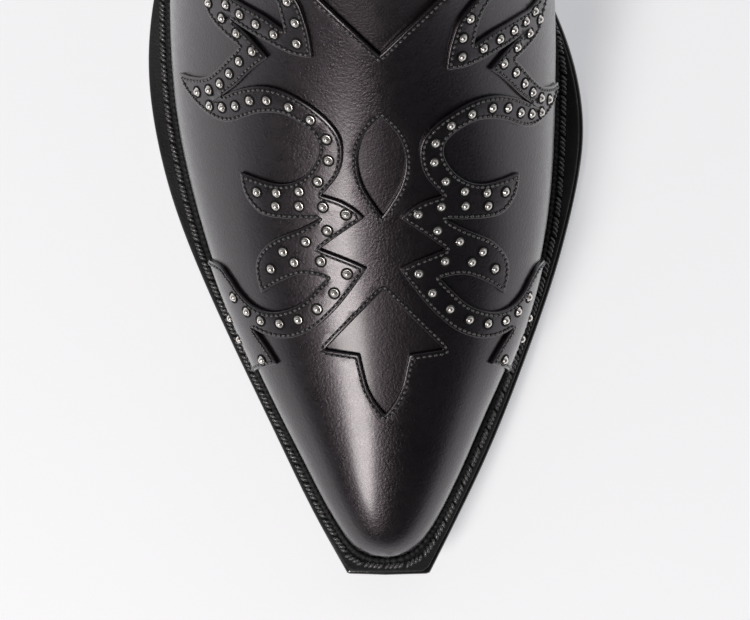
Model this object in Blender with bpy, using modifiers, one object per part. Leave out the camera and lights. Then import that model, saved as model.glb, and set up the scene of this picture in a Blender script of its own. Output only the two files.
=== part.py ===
"""Western boot, right foot: leather upper in layers, welted sole, stacked heel and pull straps.

Metres, +Z up, toe towards -Y, lateral side towards -X. Driving dimensions are in millimetres.
The upper is one loft: section planes that stand upright over the forefoot, lean back over the ankle
and lie flat round the shaft. Every leather piece is a patch of that loft at its own depth.
"""

import math

import bmesh
import bpy
import numpy as np
from mathutils import Vector
from mathutils.geometry import delaunay_2d_cdt

MM = 0.001
GAP = 0.3

# Where the loft's own origin (toe tip of the sole, ground level) lies in the part's frame
FRAME_X = 3.85
FRAME_Y = -152.35

# Profile of the loft: one value for each station, from the toe tip to the collar
RIDGE_Y = (4.2, 5.2, 8.0, 12.5, 19.0, 29.0, 42.0, 58.0, 76.0, 95.0, 113.0, 130.0, 146.0, 160.0, 171.5,
           180.5, 186.5, 190.5, 192.5, 193.5, 193.5, 192.8, 191.5, 190.0, 188.5, 187.0, 185.5, 184.0, 182.5)
RIDGE_Z = (23.0, 26.3, 29.5, 32.2, 34.8, 37.8, 41.2, 45.6, 51.6, 59.2, 67.8, 77.4, 88.4, 100.6, 113.4,
           127.0, 141.0, 155.5, 170.5, 185.5, 200.5, 215.5, 231.0, 247.0, 263.0, 279.5, 296.0, 313.0, 330.0)
BASE_Y = (4.2, 5.2, 8.0, 12.5, 19.0, 29.0, 42.0, 58.0, 76.0, 96.0, 117.0, 140.0, 165.0, 190.0, 216.0,
          242.0, 268.0)
BACK_Y = (301.5, 304.0, 304.0, 302.0, 299.2, 297.2, 296.8, 298.0, 300.5, 303.6, 306.5)
BACK_Z = (50.3, 67.0, 88.0, 112.0, 138.0, 166.0, 196.0, 228.0, 261.0, 295.0, 330.0)
HEEL_ARC = len(BASE_Y) - 1
BACK_START = HEEL_ARC + 2
TOP = len(RIDGE_Y) - 1
HEEL_RADIUS = BACK_Y[0] - BASE_Y[-1]

# Half-widths at the feather line (where upper meets welt) and at the widest point, lateral and medial
FEATHER = {
    -1: (0, 4.9, 8.4, 11.4, 15.1, 20.1, 26.5, 33.9, 41.0, 46.8, 50.3, 50.0, 44.5, 37.0, 33.0, 32.5, 33.0),
    1: (0, 4.7, 8.1, 11.2, 14.6, 19.2, 24.6, 31.2, 36.6, 40.6, 41.5, 38.0, 27.0, 20.5, 21.5, 26.5, 30.0),
}
WIDEST = {
    -1: (0, 5.3, 9.0, 12.1, 15.9, 21.0, 27.6, 35.2, 42.6, 48.6, 52.8, 54.4, 53.5, 50.0, 46.0, 42.5, 40.0,
         38.7, 38.0, 37.9, 38.2, 39.0, 40.5, 42.5, 44.7, 47.0, 49.0, 50.7, 52.0),
    1: (0, 5.1, 8.7, 11.9, 15.4, 20.1, 25.7, 32.6, 38.2, 41.5, 42.6, 42.6, 41.6, 40.2, 38.8, 37.6, 36.8,
        36.3, 36.0, 36.0, 36.4, 37.3, 38.8, 40.8, 43.0, 45.2, 47.2, 48.9, 50.0),
}
# (station, value): height of the widest point as a share of the section, roundness above and below it
WIDEST_AT = {
    -1: ((0, .35), (3, .33), (6, .30), (10, .26), (13, .30), (16, .42), (19, .50), (28, .5)),
    1: ((0, .35), (3, .33), (6, .30), (10, .28), (13, .40), (16, .46), (19, .50), (28, .5)),
}
ROUND_ABOVE = {
    -1: ((0, 2.0), (4, 1.95), (8, 1.8), (12, 1.65), (15, 1.65), (18, 1.85), (28, 2.0)),
    1: ((0, 2.0), (4, 2.05), (8, 2.0), (12, 1.75), (15, 1.7), (18, 1.85), (28, 2.0)),
}
ROUND_BELOW = {
    -1: ((0, 2.2), (6, 2.2), (12, 2.0), (16, 2.0), (20, 2.0), (28, 2.0)),
    1: ((0, 2.2), (6, 2.2), (12, 1.7), (16, 1.9), (20, 2.0), (28, 2.0)),
}
# The ridge wanders from the toe's middle towards the lateral side: (station, x)
CENTRE_X = ((0, .4), (8, -.8), (11, -1.7), (28, -1.7))

# Underside of the sole (y, z): toe spring, ball, waist and heel seat
SOLE_PROFILE = ((0, 11), (30, 6.5), (60, 3), (90, .8), (115, 0), (140, 1.5), (160, 6), (180, 13.5),
                (200, 22.5), (220, 31), (240, 36.5), (270, 39.5), (303, 41))
# Sole edge half-widths (y, lateral, medial) from the toe's corner to the heel's sides
SOLE_EDGE = ((1.2, 10.4, 11.6), (14, 17.6, 18.1), (34, 27.5, 27.5), (54.5, 37.4, 35.6), (75, 46.8, 42.8),
             (95, 54.5, 48.1), (110, 58.4, 50.4), (126, 60.6, 49.1), (141, 60.1, 44.3), (155, 57.2, 37.5),
             (172, 50.5, 29.5), (190, 43.0, 25.0), (210, 38.2, 25.2), (232, 36.6, 29.5), (255, 37.0, 33.4),
             (270, 36.8, 33.8))
SOLE_LENGTH = 305.0
TOE_CORNER = 9.2

# Depths of the layers below (-) or above (+) the loft: (outer face, thickness)
OVERLAY_LAYER = (1.8, 1.2)
UPPER_LAYER = (0.0, 1.5)
UNDER_LAYER = (-2.0, 1.4)
TOE_BOX_LAYER = (-2.6, 0.9)
LINING_LAYER = (-4.0, 1.2)

# Heights above the sole's underside: (bottom, top)
OUTSOLE = (0.0, 5.0)
WELT = (5.3, 8.0)
HEEL_RAND = (5.3, 7.4)
FILLER = (5.3, 7.4)
INSOLE = (8.3, 10.6)
SOCK = (10.9, 11.9)
FEATHER_HEIGHT = 8.3
WELT_INNER = 4.0
INSOLE_INSET = 7.2
RAND_START = 232.0

# Vamp: V throat and top line as (run along the ridge, girth from it), down to the side seam
VAMP_TOP = ((138.1, 0.0), (146, 7.6), (153.4, 15.5), (160.5, 24), (167, 34), (173, 45), (181, 57), (194, 71),
            (210.5, 86))
LENS = (((116.2, 4.2), (109.6, 6.0), (102.3, 4.6), (94.6, 0.0)),
        ((102.3, -4.6), (109.6, -6.0), (116.2, -4.2), (121.2, 0.0)))
SPADE_HALF = (((59.5, 15.2),), ((58.2, 6.3),), ((54, 5.4), (49.6, 4.3), (45.7, 2.3), (42.7, 0.0)))
SPADE_TOP = (75.0, 0.0)
INLAY_MARGIN = 4.0
LENS_INLAY_GROWTH = (1.27, 1.7)

# Wing overlay, as strokes of (run, girth): each runs on smoothly from the last point before it.
# WELT_EDGE marks the stroke along the welt, whose girth follows the feather line.
WELT_EDGE = None
WING = (
    ((154, 58.5), (149, 53.5), (144, 50), (140.7, 44.9), (137.4, 38.4)),
    ((135, 41.4), (131.5, 46), (129.4, 50.5), (129, 57), (129.6, 64)),
    ((125.3, 59), (120.3, 49), (118.9, 41.4), (121.3, 32), (120.9, 24), (116.5, 17), (111.4, 15.6),
     (105.5, 19.5), (103.5, 26.5), (106.5, 38.2)),
    ((100.7, 36.7), (95.8, 32), (94.3, 25), (94.2, 15.8)),
    ((91.5, 21), (88.5, 28.5), (84.7, 32.9), (80.3, 34), (74.4, 32.5)),
    ((76.9, 28.3), (79.2, 22.5), (79.5, 18.5), (78.5, 14.1)),
    ((72.2, 20.6), (70, 26), (69.8, 31), (71.5, 36), (75, 40.7), (79, 44.5), (82.5, 50), (84.5, WELT_EDGE)),
    ((76, WELT_EDGE), (68, WELT_EDGE), (60, WELT_EDGE), (53.5, WELT_EDGE)),
    ((56, 28.9),),
    ((60.9, 32.5), (65.4, 36.5)),
    ((64, 33), (62.9, 28.5), (62.9, 24), (64.5, 19), (67, 15.3), (71.5, 10.8), (77.5, 6.3), (81.1, 4)),
    ((83.2, 8.3), (86.2, 15.7)),
    ((89, 12), (94.4, 4.4)),
    ((96.7, 6.7), (99, 10.5), (100.5, 15)),
    ((105.4, 11), (110, 9.6), (115, 9.9), (119.5, 12.8), (124, 18.5), (127, 25), (128, 31.5), (127, 38.5),
     (125.2, 44)),
    ((128, 39.2), (131.7, 34.6), (135.3, 29.3)),
    ((137.9, 32.2), (140.8, 36), (143.5, 40.8)),
    ((141.6, 36), (139.7, 31), (137.9, 26.4), (136.4, 22), (135.7, 16.7)),
    ((140.7, 17.4), (145.1, 18.6), (150.3, 20.9), (156, 26.5), (160, 32.5), (163, 40)),
    ((158, 35), (155, 31.5), (152.6, 28.6), (148.5, 26.3), (142.6, 24.6)),
    ((145.4, 30), (147.3, 35.5), (148.9, 41), (150.5, 47), (154.5, 55), (160, 66)),
)
WING_CLEAR_OF_WELT = 5.0
# Above this run the medial wing sits lower and the lateral one higher: (run, shift for each mm beyond it)
WING_SKEW = (105.0, 0.053)

# (station, degrees) the section's lower curve has turned when it meets the feather line or the back
TURN_END = ((0, 52), (16, 52), (17, 58), (17.5, 70), (18, 90), (28, 90))
# Stations between which the loft is relaxed round the heel; share at which the upper turns under
HEEL_EASE = (16.2, 19.8)
TURN_UNDER = 0.94
# Side seam as (station, share of the half girth); it ends where vamp and counter cover meet
SEAM = ((15, .70), (15.5, .605), (16.2, .505), (16.8, .445), (17.5, .405), (18.5, .388), (19.6, .398),
        (21.2, .44), (22.6, .477), (24.5, .505), (26, .507), (28, .5))
# Counter cover's top line as (station, share), from the side seam to the back, and its lowest front point
COUNTER_TOP = ((15, .70), (15.55, .694), (16.25, .688), (17, .68), (18.2, .695), (19.1, .775), (19.8, .85),
               (20.3, .922), (20.55, 1.0))
COUNTER_FRONT = 13.6
AROUND_HEEL = 11
SEAM_GAP = 0.006
SHAFT_TUCK = 9.0
COUNTER_TUCK = 0.26
COLLAR_HEIGHT = 330.0
COLLAR_TURN = 0.5
FRONT_DIP = 48.0
BACK_DIP = 40.0

# Heel: underslung stack
HEEL_LIFTS = 5
TOP_LIFT = 6.0
LIFT = 6.0
HEEL_BREAST = (246.0, 238.5)
HEEL_BACK = (291.0, 303.6)
HEEL_HALF = (27.0, 34.6)
HEEL_X = -1.7
HEEL_TOP = 40.0

# Pull straps
PIPING_START = 15.5
STRAP_WIDTH = 32.0
STRAP_RISE = 27.0
STRAP_LEATHER = 1.8
TAB_DEPTH = 46.0
HINGE_RISE = 0.5
LOOP_START = 6.0
LOOP_BULGE = 4.5
STRAP_FACES = (-0.5, -6.7)


# ------------------------------------------------------------------ the loft

def spline(x, y):
    """Natural cubic spline through the points, as a function."""
    x = np.asarray(x, float)
    y = np.asarray(y, float)
    n = len(x)
    step = np.diff(x)
    system = np.eye(n)
    right = np.zeros(n)
    for i in range(1, n - 1):
        system[i, i - 1:i + 2] = step[i - 1], 2 * (step[i - 1] + step[i]), step[i]
        right[i] = 6 * ((y[i + 1] - y[i]) / step[i] - (y[i] - y[i - 1]) / step[i - 1])
    bend = np.linalg.solve(system, right)

    def curve(q):
        q = np.asarray(q, float)
        i = np.clip(np.searchsorted(x, q) - 1, 0, n - 2)
        left, after, before = step[i], x[i + 1] - q, q - x[i]
        cubic = (bend[i] * after**3 + bend[i + 1] * before**3) / (6 * left)
        return (cubic + (y[i] / left - bend[i] * left / 6) * after
                + (y[i + 1] / left - bend[i + 1] * left / 6) * before)
    return curve


def along_stations(values, parity=0):
    """Spline over station numbers. Parity 1 or -1 carries it evenly or oddly through the toe tip."""
    values = list(values)
    if parity == 0:
        return spline(range(len(values)), values)
    mirrored = [v if parity > 0 else 2 * values[0] - v for v in values[3:0:-1]]
    return spline(range(-3, len(values)), mirrored + values)


def pairs(table):
    return spline(*zip(*table))


ridge_y = along_stations(RIDGE_Y, 1)
ridge_z = along_stations(RIDGE_Z, -1)
base_y = along_stations(BASE_Y, 1)
back_y = spline(range(BACK_START, TOP + 1), BACK_Y)
back_z = spline(range(BACK_START, TOP + 1), BACK_Z)
sole_z = pairs(SOLE_PROFILE)
centre_x = pairs(CENTRE_X)
feather = {side: along_stations(FEATHER[side], -1) for side in FEATHER}
widest = {side: along_stations(WIDEST[side], -1) for side in WIDEST}
widest_at = {side: pairs(WIDEST_AT[side]) for side in WIDEST_AT}
above = {side: pairs(ROUND_ABOVE[side]) for side in ROUND_ABOVE}
below = {side: pairs(ROUND_BELOW[side]) for side in ROUND_BELOW}


def base_line(u):
    """Where a section starts: (y, z) on the feather line or the back, and the share of its width left."""
    turn = np.clip((u - HEEL_ARC) * math.pi / 4, 0, math.pi / 2)
    y = np.where(u < HEEL_ARC, base_y(np.minimum(u, HEEL_ARC)), BASE_Y[-1] + HEEL_RADIUS * np.sin(turn))
    z = sole_z(y) + FEATHER_HEIGHT
    on_back = u > BACK_START
    y = np.where(on_back, back_y(np.maximum(u, BACK_START)), y)
    z = np.where(on_back, back_z(np.maximum(u, BACK_START)), z)
    return y, z, np.cos(turn) * (u < BACK_START)


def half_sections(u, side, t):
    """Points of the half sections u, for t from 0 on the ridge to 1 on the base line."""
    u = np.asarray(u, float)[:, None]
    t = np.asarray(t, float)[None, :]
    y0, z0, share = base_line(u)
    middle = centre_x(u)
    wide = widest[side](u) - side * middle
    foot = feather[side](np.minimum(u, HEEL_ARC)) * share - side * middle * (share > 0)
    foot = np.where(u < 0.5, np.minimum(foot, wide), foot)
    turn = np.clip(t * 2, 0, 1) * math.pi / 2
    end = np.radians(np.interp(u, *zip(*TURN_END)))
    turn_below = np.clip(t * 2 - 1, 0, 1) * end
    level = widest_at[side](u)
    power, power_below = 2 / above[side](u), 2 / below[side](u)
    upper = t < 0.5
    fall = (np.sin(turn_below) / np.sin(end))**power_below
    draw_in = (1 - np.cos(turn_below)**power_below) / (1 - np.cos(end)**power_below)
    high = np.where(upper, level + (1 - level) * np.clip(np.cos(turn), 0, 1)**power, level * (1 - fall))
    width = np.where(upper, wide * np.sin(turn)**power, wide + (foot - wide) * draw_in)
    return np.stack([middle + side * width, y0 + (ridge_y(u) - y0) * high,
                     z0 + (ridge_z(u) - z0) * high], -1)


def eased(points, stations):
    """The loft's table with its crease round the heel relaxed; ridge and base line stay."""
    low, high = HEEL_EASE
    along = np.clip((stations - low) * (high - stations) / (0.1 * (high - low)**2), 0, 1)
    across = np.interp(np.linspace(0, 1, points.shape[1]), (0.4, 0.6, 0.94, 1.0), (0, 1, 1, 0))
    weight = (along[:, None] * across)[..., None] * 0.5
    for _ in range(50):
        mean = (np.roll(points, 1, 0) + np.roll(points, -1, 0) + np.roll(points, 1, 1)
                + np.roll(points, -1, 1)) / 4
        points = points + weight * (mean - points)
    return points


class Half:
    """One side of the loft as a table of points at even steps of girth, with its normals."""

    rows = TOP * 8 + 1
    columns = 97

    def __init__(self, side):
        self.side = side
        self.u = np.linspace(0, TOP, self.rows)
        dense = half_sections(self.u, side, np.linspace(0, 1, 300))
        run = np.linalg.norm(np.diff(dense, axis=1), axis=2).cumsum(1)
        run = np.concatenate([np.zeros((self.rows, 1)), run], 1)
        self.girth = run[:, -1]
        self.points = np.empty((self.rows, self.columns, 3))
        for i in range(self.rows):
            at = np.linspace(0, run[i, -1], self.columns)
            for k in range(3):
                self.points[i, :, k] = np.interp(at, run[i], dense[i, :, k])
        self.points = eased(self.points, self.u)
        normal = np.cross(np.gradient(self.points, axis=0), np.gradient(self.points, axis=1)) * -side
        normal[:, 0, 0] = 0
        normal[self.u >= BACK_START, -1, 0] = 0
        normal[0] = normal[1] * (0, 1, 1)
        normal /= np.linalg.norm(normal, axis=2, keepdims=True)
        turn_under = round(TURN_UNDER * (self.columns - 1))
        below = self.u < BACK_START
        normal[below, turn_under:] = normal[below, turn_under][:, None] * (1, 1, 0) + (0, 0, -0.1)
        self.normals = normal / np.linalg.norm(normal, axis=2, keepdims=True)

    def look_up(self, table, u, v):
        i = np.clip(np.asarray(u, float) / TOP * (self.rows - 1), 0, self.rows - 1.000001)
        j = np.clip(np.asarray(v, float) * (self.columns - 1), 0, self.columns - 1.000001)
        i0, j0 = i.astype(int), j.astype(int)
        a, b = (i - i0)[..., None], (j - j0)[..., None]
        near = table[i0, j0] * (1 - b) + table[i0, j0 + 1] * b
        far = table[i0 + 1, j0] * (1 - b) + table[i0 + 1, j0 + 1] * b
        return near * (1 - a) + far * a

    def at(self, u, v, depth=0.0):
        """Points at station u and share v of the half girth, moved out by depth."""
        normal = self.look_up(self.normals, u, v)
        normal = normal / np.linalg.norm(normal, axis=-1, keepdims=True)
        return self.look_up(self.points, u, v) + normal * depth

    def half_girth(self, u):
        return np.interp(u, self.u, self.girth)


HALVES = {side: Half(side) for side in (-1, 1)}
STATION = HALVES[1].u
RUN = np.concatenate([[0], np.hypot(np.diff(ridge_y(STATION)), np.diff(ridge_z(STATION))).cumsum()])


def station_of(run):
    return np.interp(run, RUN, STATION)


def run_of(station):
    return np.interp(station, STATION, RUN)


def on_loft(run, girth, depth):
    """Point of the loft at a run along the ridge and a signed girth from it (lateral is negative)."""
    half = HALVES[1 if girth > 0 else -1]
    u = station_of(run)
    share = min(abs(girth) / half.half_girth(u), 1.0)
    return half.at(u, share, depth)


def edge_girth(run, side):
    """Girth at the feather line."""
    return HALVES[side].half_girth(station_of(run))


# ------------------------------------------------------------------ outlines and solids

def smooth_stroke(knots, step):
    """Catmull-Rom curve through the knots, without its first point."""
    knots = [Vector(k) for k in knots]
    knots = [knots[0]] + knots + [knots[-1]]
    points = []
    for a, b, c, d in zip(knots, knots[1:], knots[2:], knots[3:]):
        count = max(1, round((c - b).length / step))
        for k in range(1, count + 1):
            t = k / count
            points.append(0.5 * (2 * b + (c - a) * t + (2 * a - 5 * b + 4 * c - d) * t**2
                                 + (3 * b - a - 3 * c + d) * t**3))
    return [(p.x, p.y) for p in points]


def trace(strokes, step):
    """Closed outline of strokes, each smooth in itself, with corners between them."""
    start = strokes[-1][-1]
    points = []
    for stroke in strokes:
        points += smooth_stroke([start, *stroke], step)
        start = stroke[-1]
    return points


def inside(point, outline):
    x, y = point
    odd = False
    for (x0, y0), (x1, y1) in zip(outline, outline[1:] + outline[:1]):
        if (y0 > y) != (y1 > y) and x < (x1 - x0) * (y - y0) / (y1 - y0) + x0:
            odd = not odd
    return odd


def clearance(point, outline):
    """Distance from a point to the outline's nearest edge."""
    p = np.asarray(point, float)
    a = np.asarray(outline, float)
    b = np.roll(a, -1, axis=0)
    along = b - a
    t = np.clip(((p - a) * along).sum(1) / np.maximum((along**2).sum(1), 1e-9), 0, 1)
    return np.linalg.norm(a + along * t[:, None] - p, axis=1).min()


def fill(outline, holes, spacing, margin):
    """Triangles of a flat outline with holes and inner points, spaced by a function of the first axis."""
    rings = [outline] + list(holes)
    points = []
    faces = []
    for ring in rings:
        faces.append(list(range(len(points), len(points) + len(ring))))
        points += ring
    low, high = np.min(outline, axis=0), np.max(outline, axis=0)
    x = low[0] + spacing(low[0]) / 2
    shift = 0.5
    while x < high[0]:
        step = spacing(x)
        for y in np.arange(low[1] + step * shift, high[1], step):
            if not inside((x, y), outline) or any(inside((x, y), hole) for hole in holes):
                continue
            if min(clearance((x, y), ring) for ring in rings) > margin * step:
                points.append((x, y))
        x += step
        shift = 1.5 - shift
    result = delaunay_2d_cdt([Vector(p) for p in points], [], faces, 1, 1e-6)
    flat = [tuple(p) for p in result[0]]
    kept = []
    for face in result[2]:
        centre = np.mean([flat[i] for i in face], axis=0)
        if inside(centre, outline) and not any(inside(centre, hole) for hole in holes):
            kept.append(face)
    return flat, kept


def material(name, colour, roughness, metallic=0.0):
    made = bpy.data.materials.new(name)
    made.use_nodes = True
    shader = made.node_tree.nodes["Principled BSDF"]
    shader.inputs["Base Color"].default_value = (*colour, 1)
    shader.inputs["Roughness"].default_value = roughness
    shader.inputs["Metallic"].default_value = metallic
    return made


def place(points):
    """Loft millimetres to metres in the part's frame."""
    return [((x + FRAME_X) * MM, (y + FRAME_Y) * MM, z * MM) for x, y, z in points]


def add(name, points, faces, look):
    """New object from points in loft millimetres, welded, with its faces pointing out."""
    mesh = bpy.data.meshes.new(name)
    mesh.from_pydata(place(points), [], faces)
    shape = bmesh.new()
    shape.from_mesh(mesh)
    bmesh.ops.remove_doubles(shape, verts=shape.verts, dist=0.00002)
    bmesh.ops.recalc_face_normals(shape, faces=shape.faces)
    shape.to_mesh(mesh)
    shape.free()
    made = bpy.data.objects.new(name, mesh)
    made.data.materials.append(look)
    BOOT.objects.link(made)
    return made


def solidify(sheet, thickness, outward):
    """Thicken a sheet away from its outer face, which looks along outward at its first face."""
    if sheet.data.polygons[0].normal.dot(Vector(outward)) < 0:
        sheet.data.flip_normals()
    skin = sheet.modifiers.new("thickness", "SOLIDIFY")
    skin.thickness = thickness * MM
    skin.offset = -1
    sheet.data.shade_smooth()
    sheet.data.set_sharp_from_angle(angle=math.radians(35))
    return sheet


def toe_step(fine, coarse):
    """Spacing that grows from the tight curves of the toe to the calmer instep."""
    return lambda run: fine + (coarse - fine) * min(1.0, run / 60)


def leather(name, outline, holes, layer, look, spacing=toe_step(6.0, 6.0)):
    """A flat pattern piece laid on the loft."""
    flat, faces = fill(outline, holes, spacing, 0.55)
    points = [on_loft(run, girth, layer[0]) for run, girth in flat]
    sheet = add(name, points, faces, look)
    run, girth = np.mean([flat[i] for i in faces[0]], axis=0)
    outward = on_loft(run, girth, 5.0) - on_loft(run, girth, 0.0)
    return solidify(sheet, layer[1], outward)


def grid_faces(rows, columns):
    faces = []
    for i in range(rows - 1):
        for j in range(columns - 1):
            a = i * columns + j
            faces.append((a, a + 1, a + columns + 1, a + columns))
    return faces


def patch(name, corners, layer, look, size, first=(0, 0), last=0):
    """Both mirrored sides of a four-sided patch: corners(a, b, side) gives (station, share).

    size counts the rows and columns of its lattice; first and last leave some of them out, so that
    pieces in different layers share one lattice and nest.
    """
    a, b = np.meshgrid(np.linspace(0, 1, size[0])[first[0]:],
                       np.linspace(0, 1, size[1])[first[1]:size[1] - last], indexing="ij")
    points = []
    faces = []
    for side in (-1, 1):
        u, v = corners(a, b, side)
        start = len(points)
        points += list(HALVES[side].at(u, v, layer[0]).reshape(-1, 3))
        faces += [tuple(start + k for k in face) for face in grid_faces(*a.shape)]
    sheet = add(name, points, faces, look)
    u, v = corners(a[:2, :2], b[:2, :2], -1)
    outward = (HALVES[-1].at(u, v, 5.0) - HALVES[-1].at(u, v, 0.0)).reshape(-1, 3)[0]
    return solidify(sheet, layer[1], outward)


# ------------------------------------------------------------------ upper

def vamp_top(girth):
    """Run of the vamp's top edge at a girth from the ridge."""
    return float(np.interp(abs(girth), [g for _, g in VAMP_TOP], [s for s, _ in VAMP_TOP]))


def vamp_side(side, step, drop, start):
    """One side of the vamp pattern: up the feather line, up the back edge, along the top to the ridge."""
    seam_station, seam_share = SEAM[0]
    outline = []
    end = float(run_of(COUNTER_FRONT)) - drop
    for run in np.linspace(start, end, round((end - start) / step) + 1):
        outline.append((run, float(edge_girth(run, side))))
    for t in np.linspace(0, 1, 5)[1:]:
        u = COUNTER_FRONT + (seam_station - COUNTER_FRONT) * t
        share = 1 + (seam_share - 1) * t
        outline.append((float(run_of(u)) - drop, share * float(HALVES[side].half_girth(u))))
    girth = outline[-1][1]
    count = round(girth / step)
    for k in range(1, count):
        across = girth * (1 - k / count)
        outline.append((vamp_top(across) - drop, across))
    return [(run, side * g) for run, g in outline]


def vamp_outline(step, drop=GAP, start=0.0):
    """Vamp pattern: up the medial side, over the V point and down the lateral side to the toe."""
    medial = vamp_side(1, step, drop, start)
    lateral = vamp_side(-1, step, drop, start)
    toe = [(start, lateral[0][1] * share) for share in (2 / 3, 1 / 3, 0)]
    toe += [(start, medial[0][1] * share) for share in (1 / 3, 2 / 3)]
    return medial + [(vamp_top(0) - drop, 0.0)] + lateral[::-1] + toe


def spade():
    """Strokes of the spade-shaped cut-out: one half and its mirror image."""
    corner, waist, body = SPADE_HALF
    back = [(run, -girth) for run, girth in (*reversed(body[:-1]), waist[0])]
    return [corner, waist, body, back, [(corner[0][0], -corner[0][1])], [SPADE_TOP]]


def grown(outline, margin):
    """Outline moved out by a margin, for the hidden seam allowance of an inlay."""
    points = np.asarray(outline, float)
    before, after = np.roll(points, 1, axis=0), np.roll(points, -1, axis=0)
    along = after - before
    normal = np.stack([along[:, 1], -along[:, 0]], -1)
    normal /= np.linalg.norm(normal, axis=1, keepdims=True)
    area = (points[:, 0] * after[:, 1] - after[:, 0] * points[:, 1]).sum()
    return [tuple(p) for p in points + normal * margin * (1 if area > 0 else -1)]


def skew(run, side):
    start, rate = WING_SKEW
    return run - side * rate * max(0.0, run - start)


def wing(side, step):
    """Outline of one wing overlay on the given side."""
    strokes = []
    for stroke in WING:
        points = []
        for run, girth in stroke:
            if girth is WELT_EDGE:
                girth = float(edge_girth(run, side)) - WING_CLEAR_OF_WELT
            points.append((skew(run, side), side * girth))
        strokes.append(points)
    return trace(strokes, step)


def make_vamp():
    holes = [trace(LENS, 3.5), trace(spade(), 3.5)]
    leather("vamp", vamp_outline(6.0), holes, UPPER_LAYER, BLACK_CALF, toe_step(4.5, 7.5))


def make_overlays():
    for side, name in ((-1, "lateral"), (1, "medial")):
        leather(f"wing_overlay_{name}", wing(side, 3.2), [], OVERLAY_LAYER, BLACK_CALF)


def make_inlays():
    longer, wider = LENS_INLAY_GROWTH
    middle = (LENS[0][-1][0] + LENS[1][-1][0]) / 2
    lens = [(middle + (s - middle) * longer, g * wider) for s, g in trace(LENS, 4.0)]
    leather("lens_inlay", lens, [], UNDER_LAYER, BLACK_CALF)
    top, low = SPADE_TOP[0] + INLAY_MARGIN, SPADE_HALF[2][-1][0] - INLAY_MARGIN
    corner, waist = SPADE_HALF[0][0][1] + INLAY_MARGIN, SPADE_HALF[1][0][0] - INLAY_MARGIN
    outline = [(top, 0), (SPADE_HALF[0][0][0], corner), (waist, corner), (waist - 4, 11), (low, 5)]
    outline += [(s, -g) for s, g in reversed(outline[1:])]
    strokes = [[p] for p in outline]
    leather("spade_inlay", trace(strokes, 5.0), [], UNDER_LAYER, BLACK_CALF)


def make_toe_box():
    leather("toe_box", band(9.0, 36.0, 4.0), [], TOE_BOX_LAYER, FIBREBOARD, toe_step(4.5, 6.0))


def band(start, end, step):
    """Band of the loft between two runs, from feather line to feather line."""
    runs = np.linspace(start, end, round((end - start) / step) + 1)
    medial = [(s, float(edge_girth(s, 1))) for s in runs]
    lateral = [(s, -float(edge_girth(s, -1))) for s in runs]
    across = np.linspace(medial[-1][1], lateral[-1][1], round((medial[-1][1] - lateral[-1][1]) / step / 1.5))
    toe = np.linspace(lateral[0][1], medial[0][1], 8)[1:-1]
    return medial + [(end, g) for g in across[1:-1]] + lateral[::-1] + [(start, g) for g in toe]


seam_share = pairs(SEAM)


def counter_top(t):
    """Counter cover's top line, from the side seam (0) to the back (1), as (station, share)."""
    stations, shares = zip(*COUNTER_TOP)
    at = np.linspace(0, 1, len(COUNTER_TOP))
    return np.interp(t, at, stations), np.interp(t, at, shares)


def counter_corners(a, b, side):
    """Lattice of the counter: a runs from its front edge to the back, b from the top line to the base."""
    u_top, v_top = counter_top(a)
    u_low = COUNTER_FRONT + (BACK_START - COUNTER_FRONT) * a
    return u_top + (u_low - u_top) * b, v_top + (1 - v_top) * b


def collar_height(share):
    """Height of the collar's scalloped edge at a share of the half girth."""
    dip = FRONT_DIP * (1 - share) + BACK_DIP * share
    return COLLAR_HEIGHT - dip * np.abs(np.cos(math.pi * share))**1.6


def station_at(height, share, side):
    """Station at which the loft reaches a height, at each share."""
    share = np.asarray(share, float)
    height = np.broadcast_to(height, share.shape)
    levels = HALVES[side].look_up(HALVES[side].points, STATION[:, None] + 0 * share.ravel(),
                                  share.ravel() + 0 * STATION[:, None])[..., 2]
    found = [np.interp(h, levels[:, k], STATION) for k, h in enumerate(height.ravel())]
    return np.reshape(found, share.shape)


def front_low(b, side):
    """Lower edge of the shaft front, tucked under the vamp's top edge, as (station, share)."""
    b = np.asarray(b, float)
    u = np.full(b.shape, 13.0)
    for _ in range(8):
        share = b * np.where(u < SEAM[0][0], SEAM[0][1], seam_share(u))
        girth = share * HALVES[side].half_girth(u)
        top = np.interp(girth, [g for _, g in VAMP_TOP], [s for s, _ in VAMP_TOP])
        u = station_of(top - SHAFT_TUCK)
    return u, share


def shaft_rows(a):
    """Rows of the shaft's lattice lie close together round the ankle's bend."""
    return a**1.5


def front_corners(a, b, side):
    """Lattice of the shaft front: a from its lower edge to the collar, b from the ridge to the seam."""
    u_low, v_low = front_low(b[0], side)
    high = station_at(collar_height(b[0] * 0.5) - COLLAR_TURN, b[0] * 0.5, side)
    t = shaft_rows(a)
    u = u_low + (high - u_low) * t
    share = v_low + (0.5 * b[0] - v_low) * t
    line = v_low[-1] + (0.5 - v_low[-1]) * t
    edge = u[:, -1:]
    seam = np.where(edge < SEAM[0][0], SEAM[0][1], seam_share(edge)) - SEAM_GAP
    return u, share + b * (seam - line)


def back_corners(a, b, side):
    """Lattice of the shaft back: a from under the counter cover to the collar, b from seam to back."""
    u_low, v_low = counter_corners(b[0], 0 * b[0] + COUNTER_TUCK, side)
    top_share = 0.5 + 0.5 * b[0]
    high = station_at(collar_height(top_share) - COLLAR_TURN, top_share, side)
    t = shaft_rows(a)
    u = u_low + (high - u_low) * t
    share = v_low + (top_share - v_low) * t
    line = v_low[0] + (0.5 - v_low[0]) * t
    edge = u[:, :1]
    seam = np.where(edge < SEAM[0][0], v_low[0], seam_share(edge)) + SEAM_GAP
    return u, share + (1 - b) * (seam - line)


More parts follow.
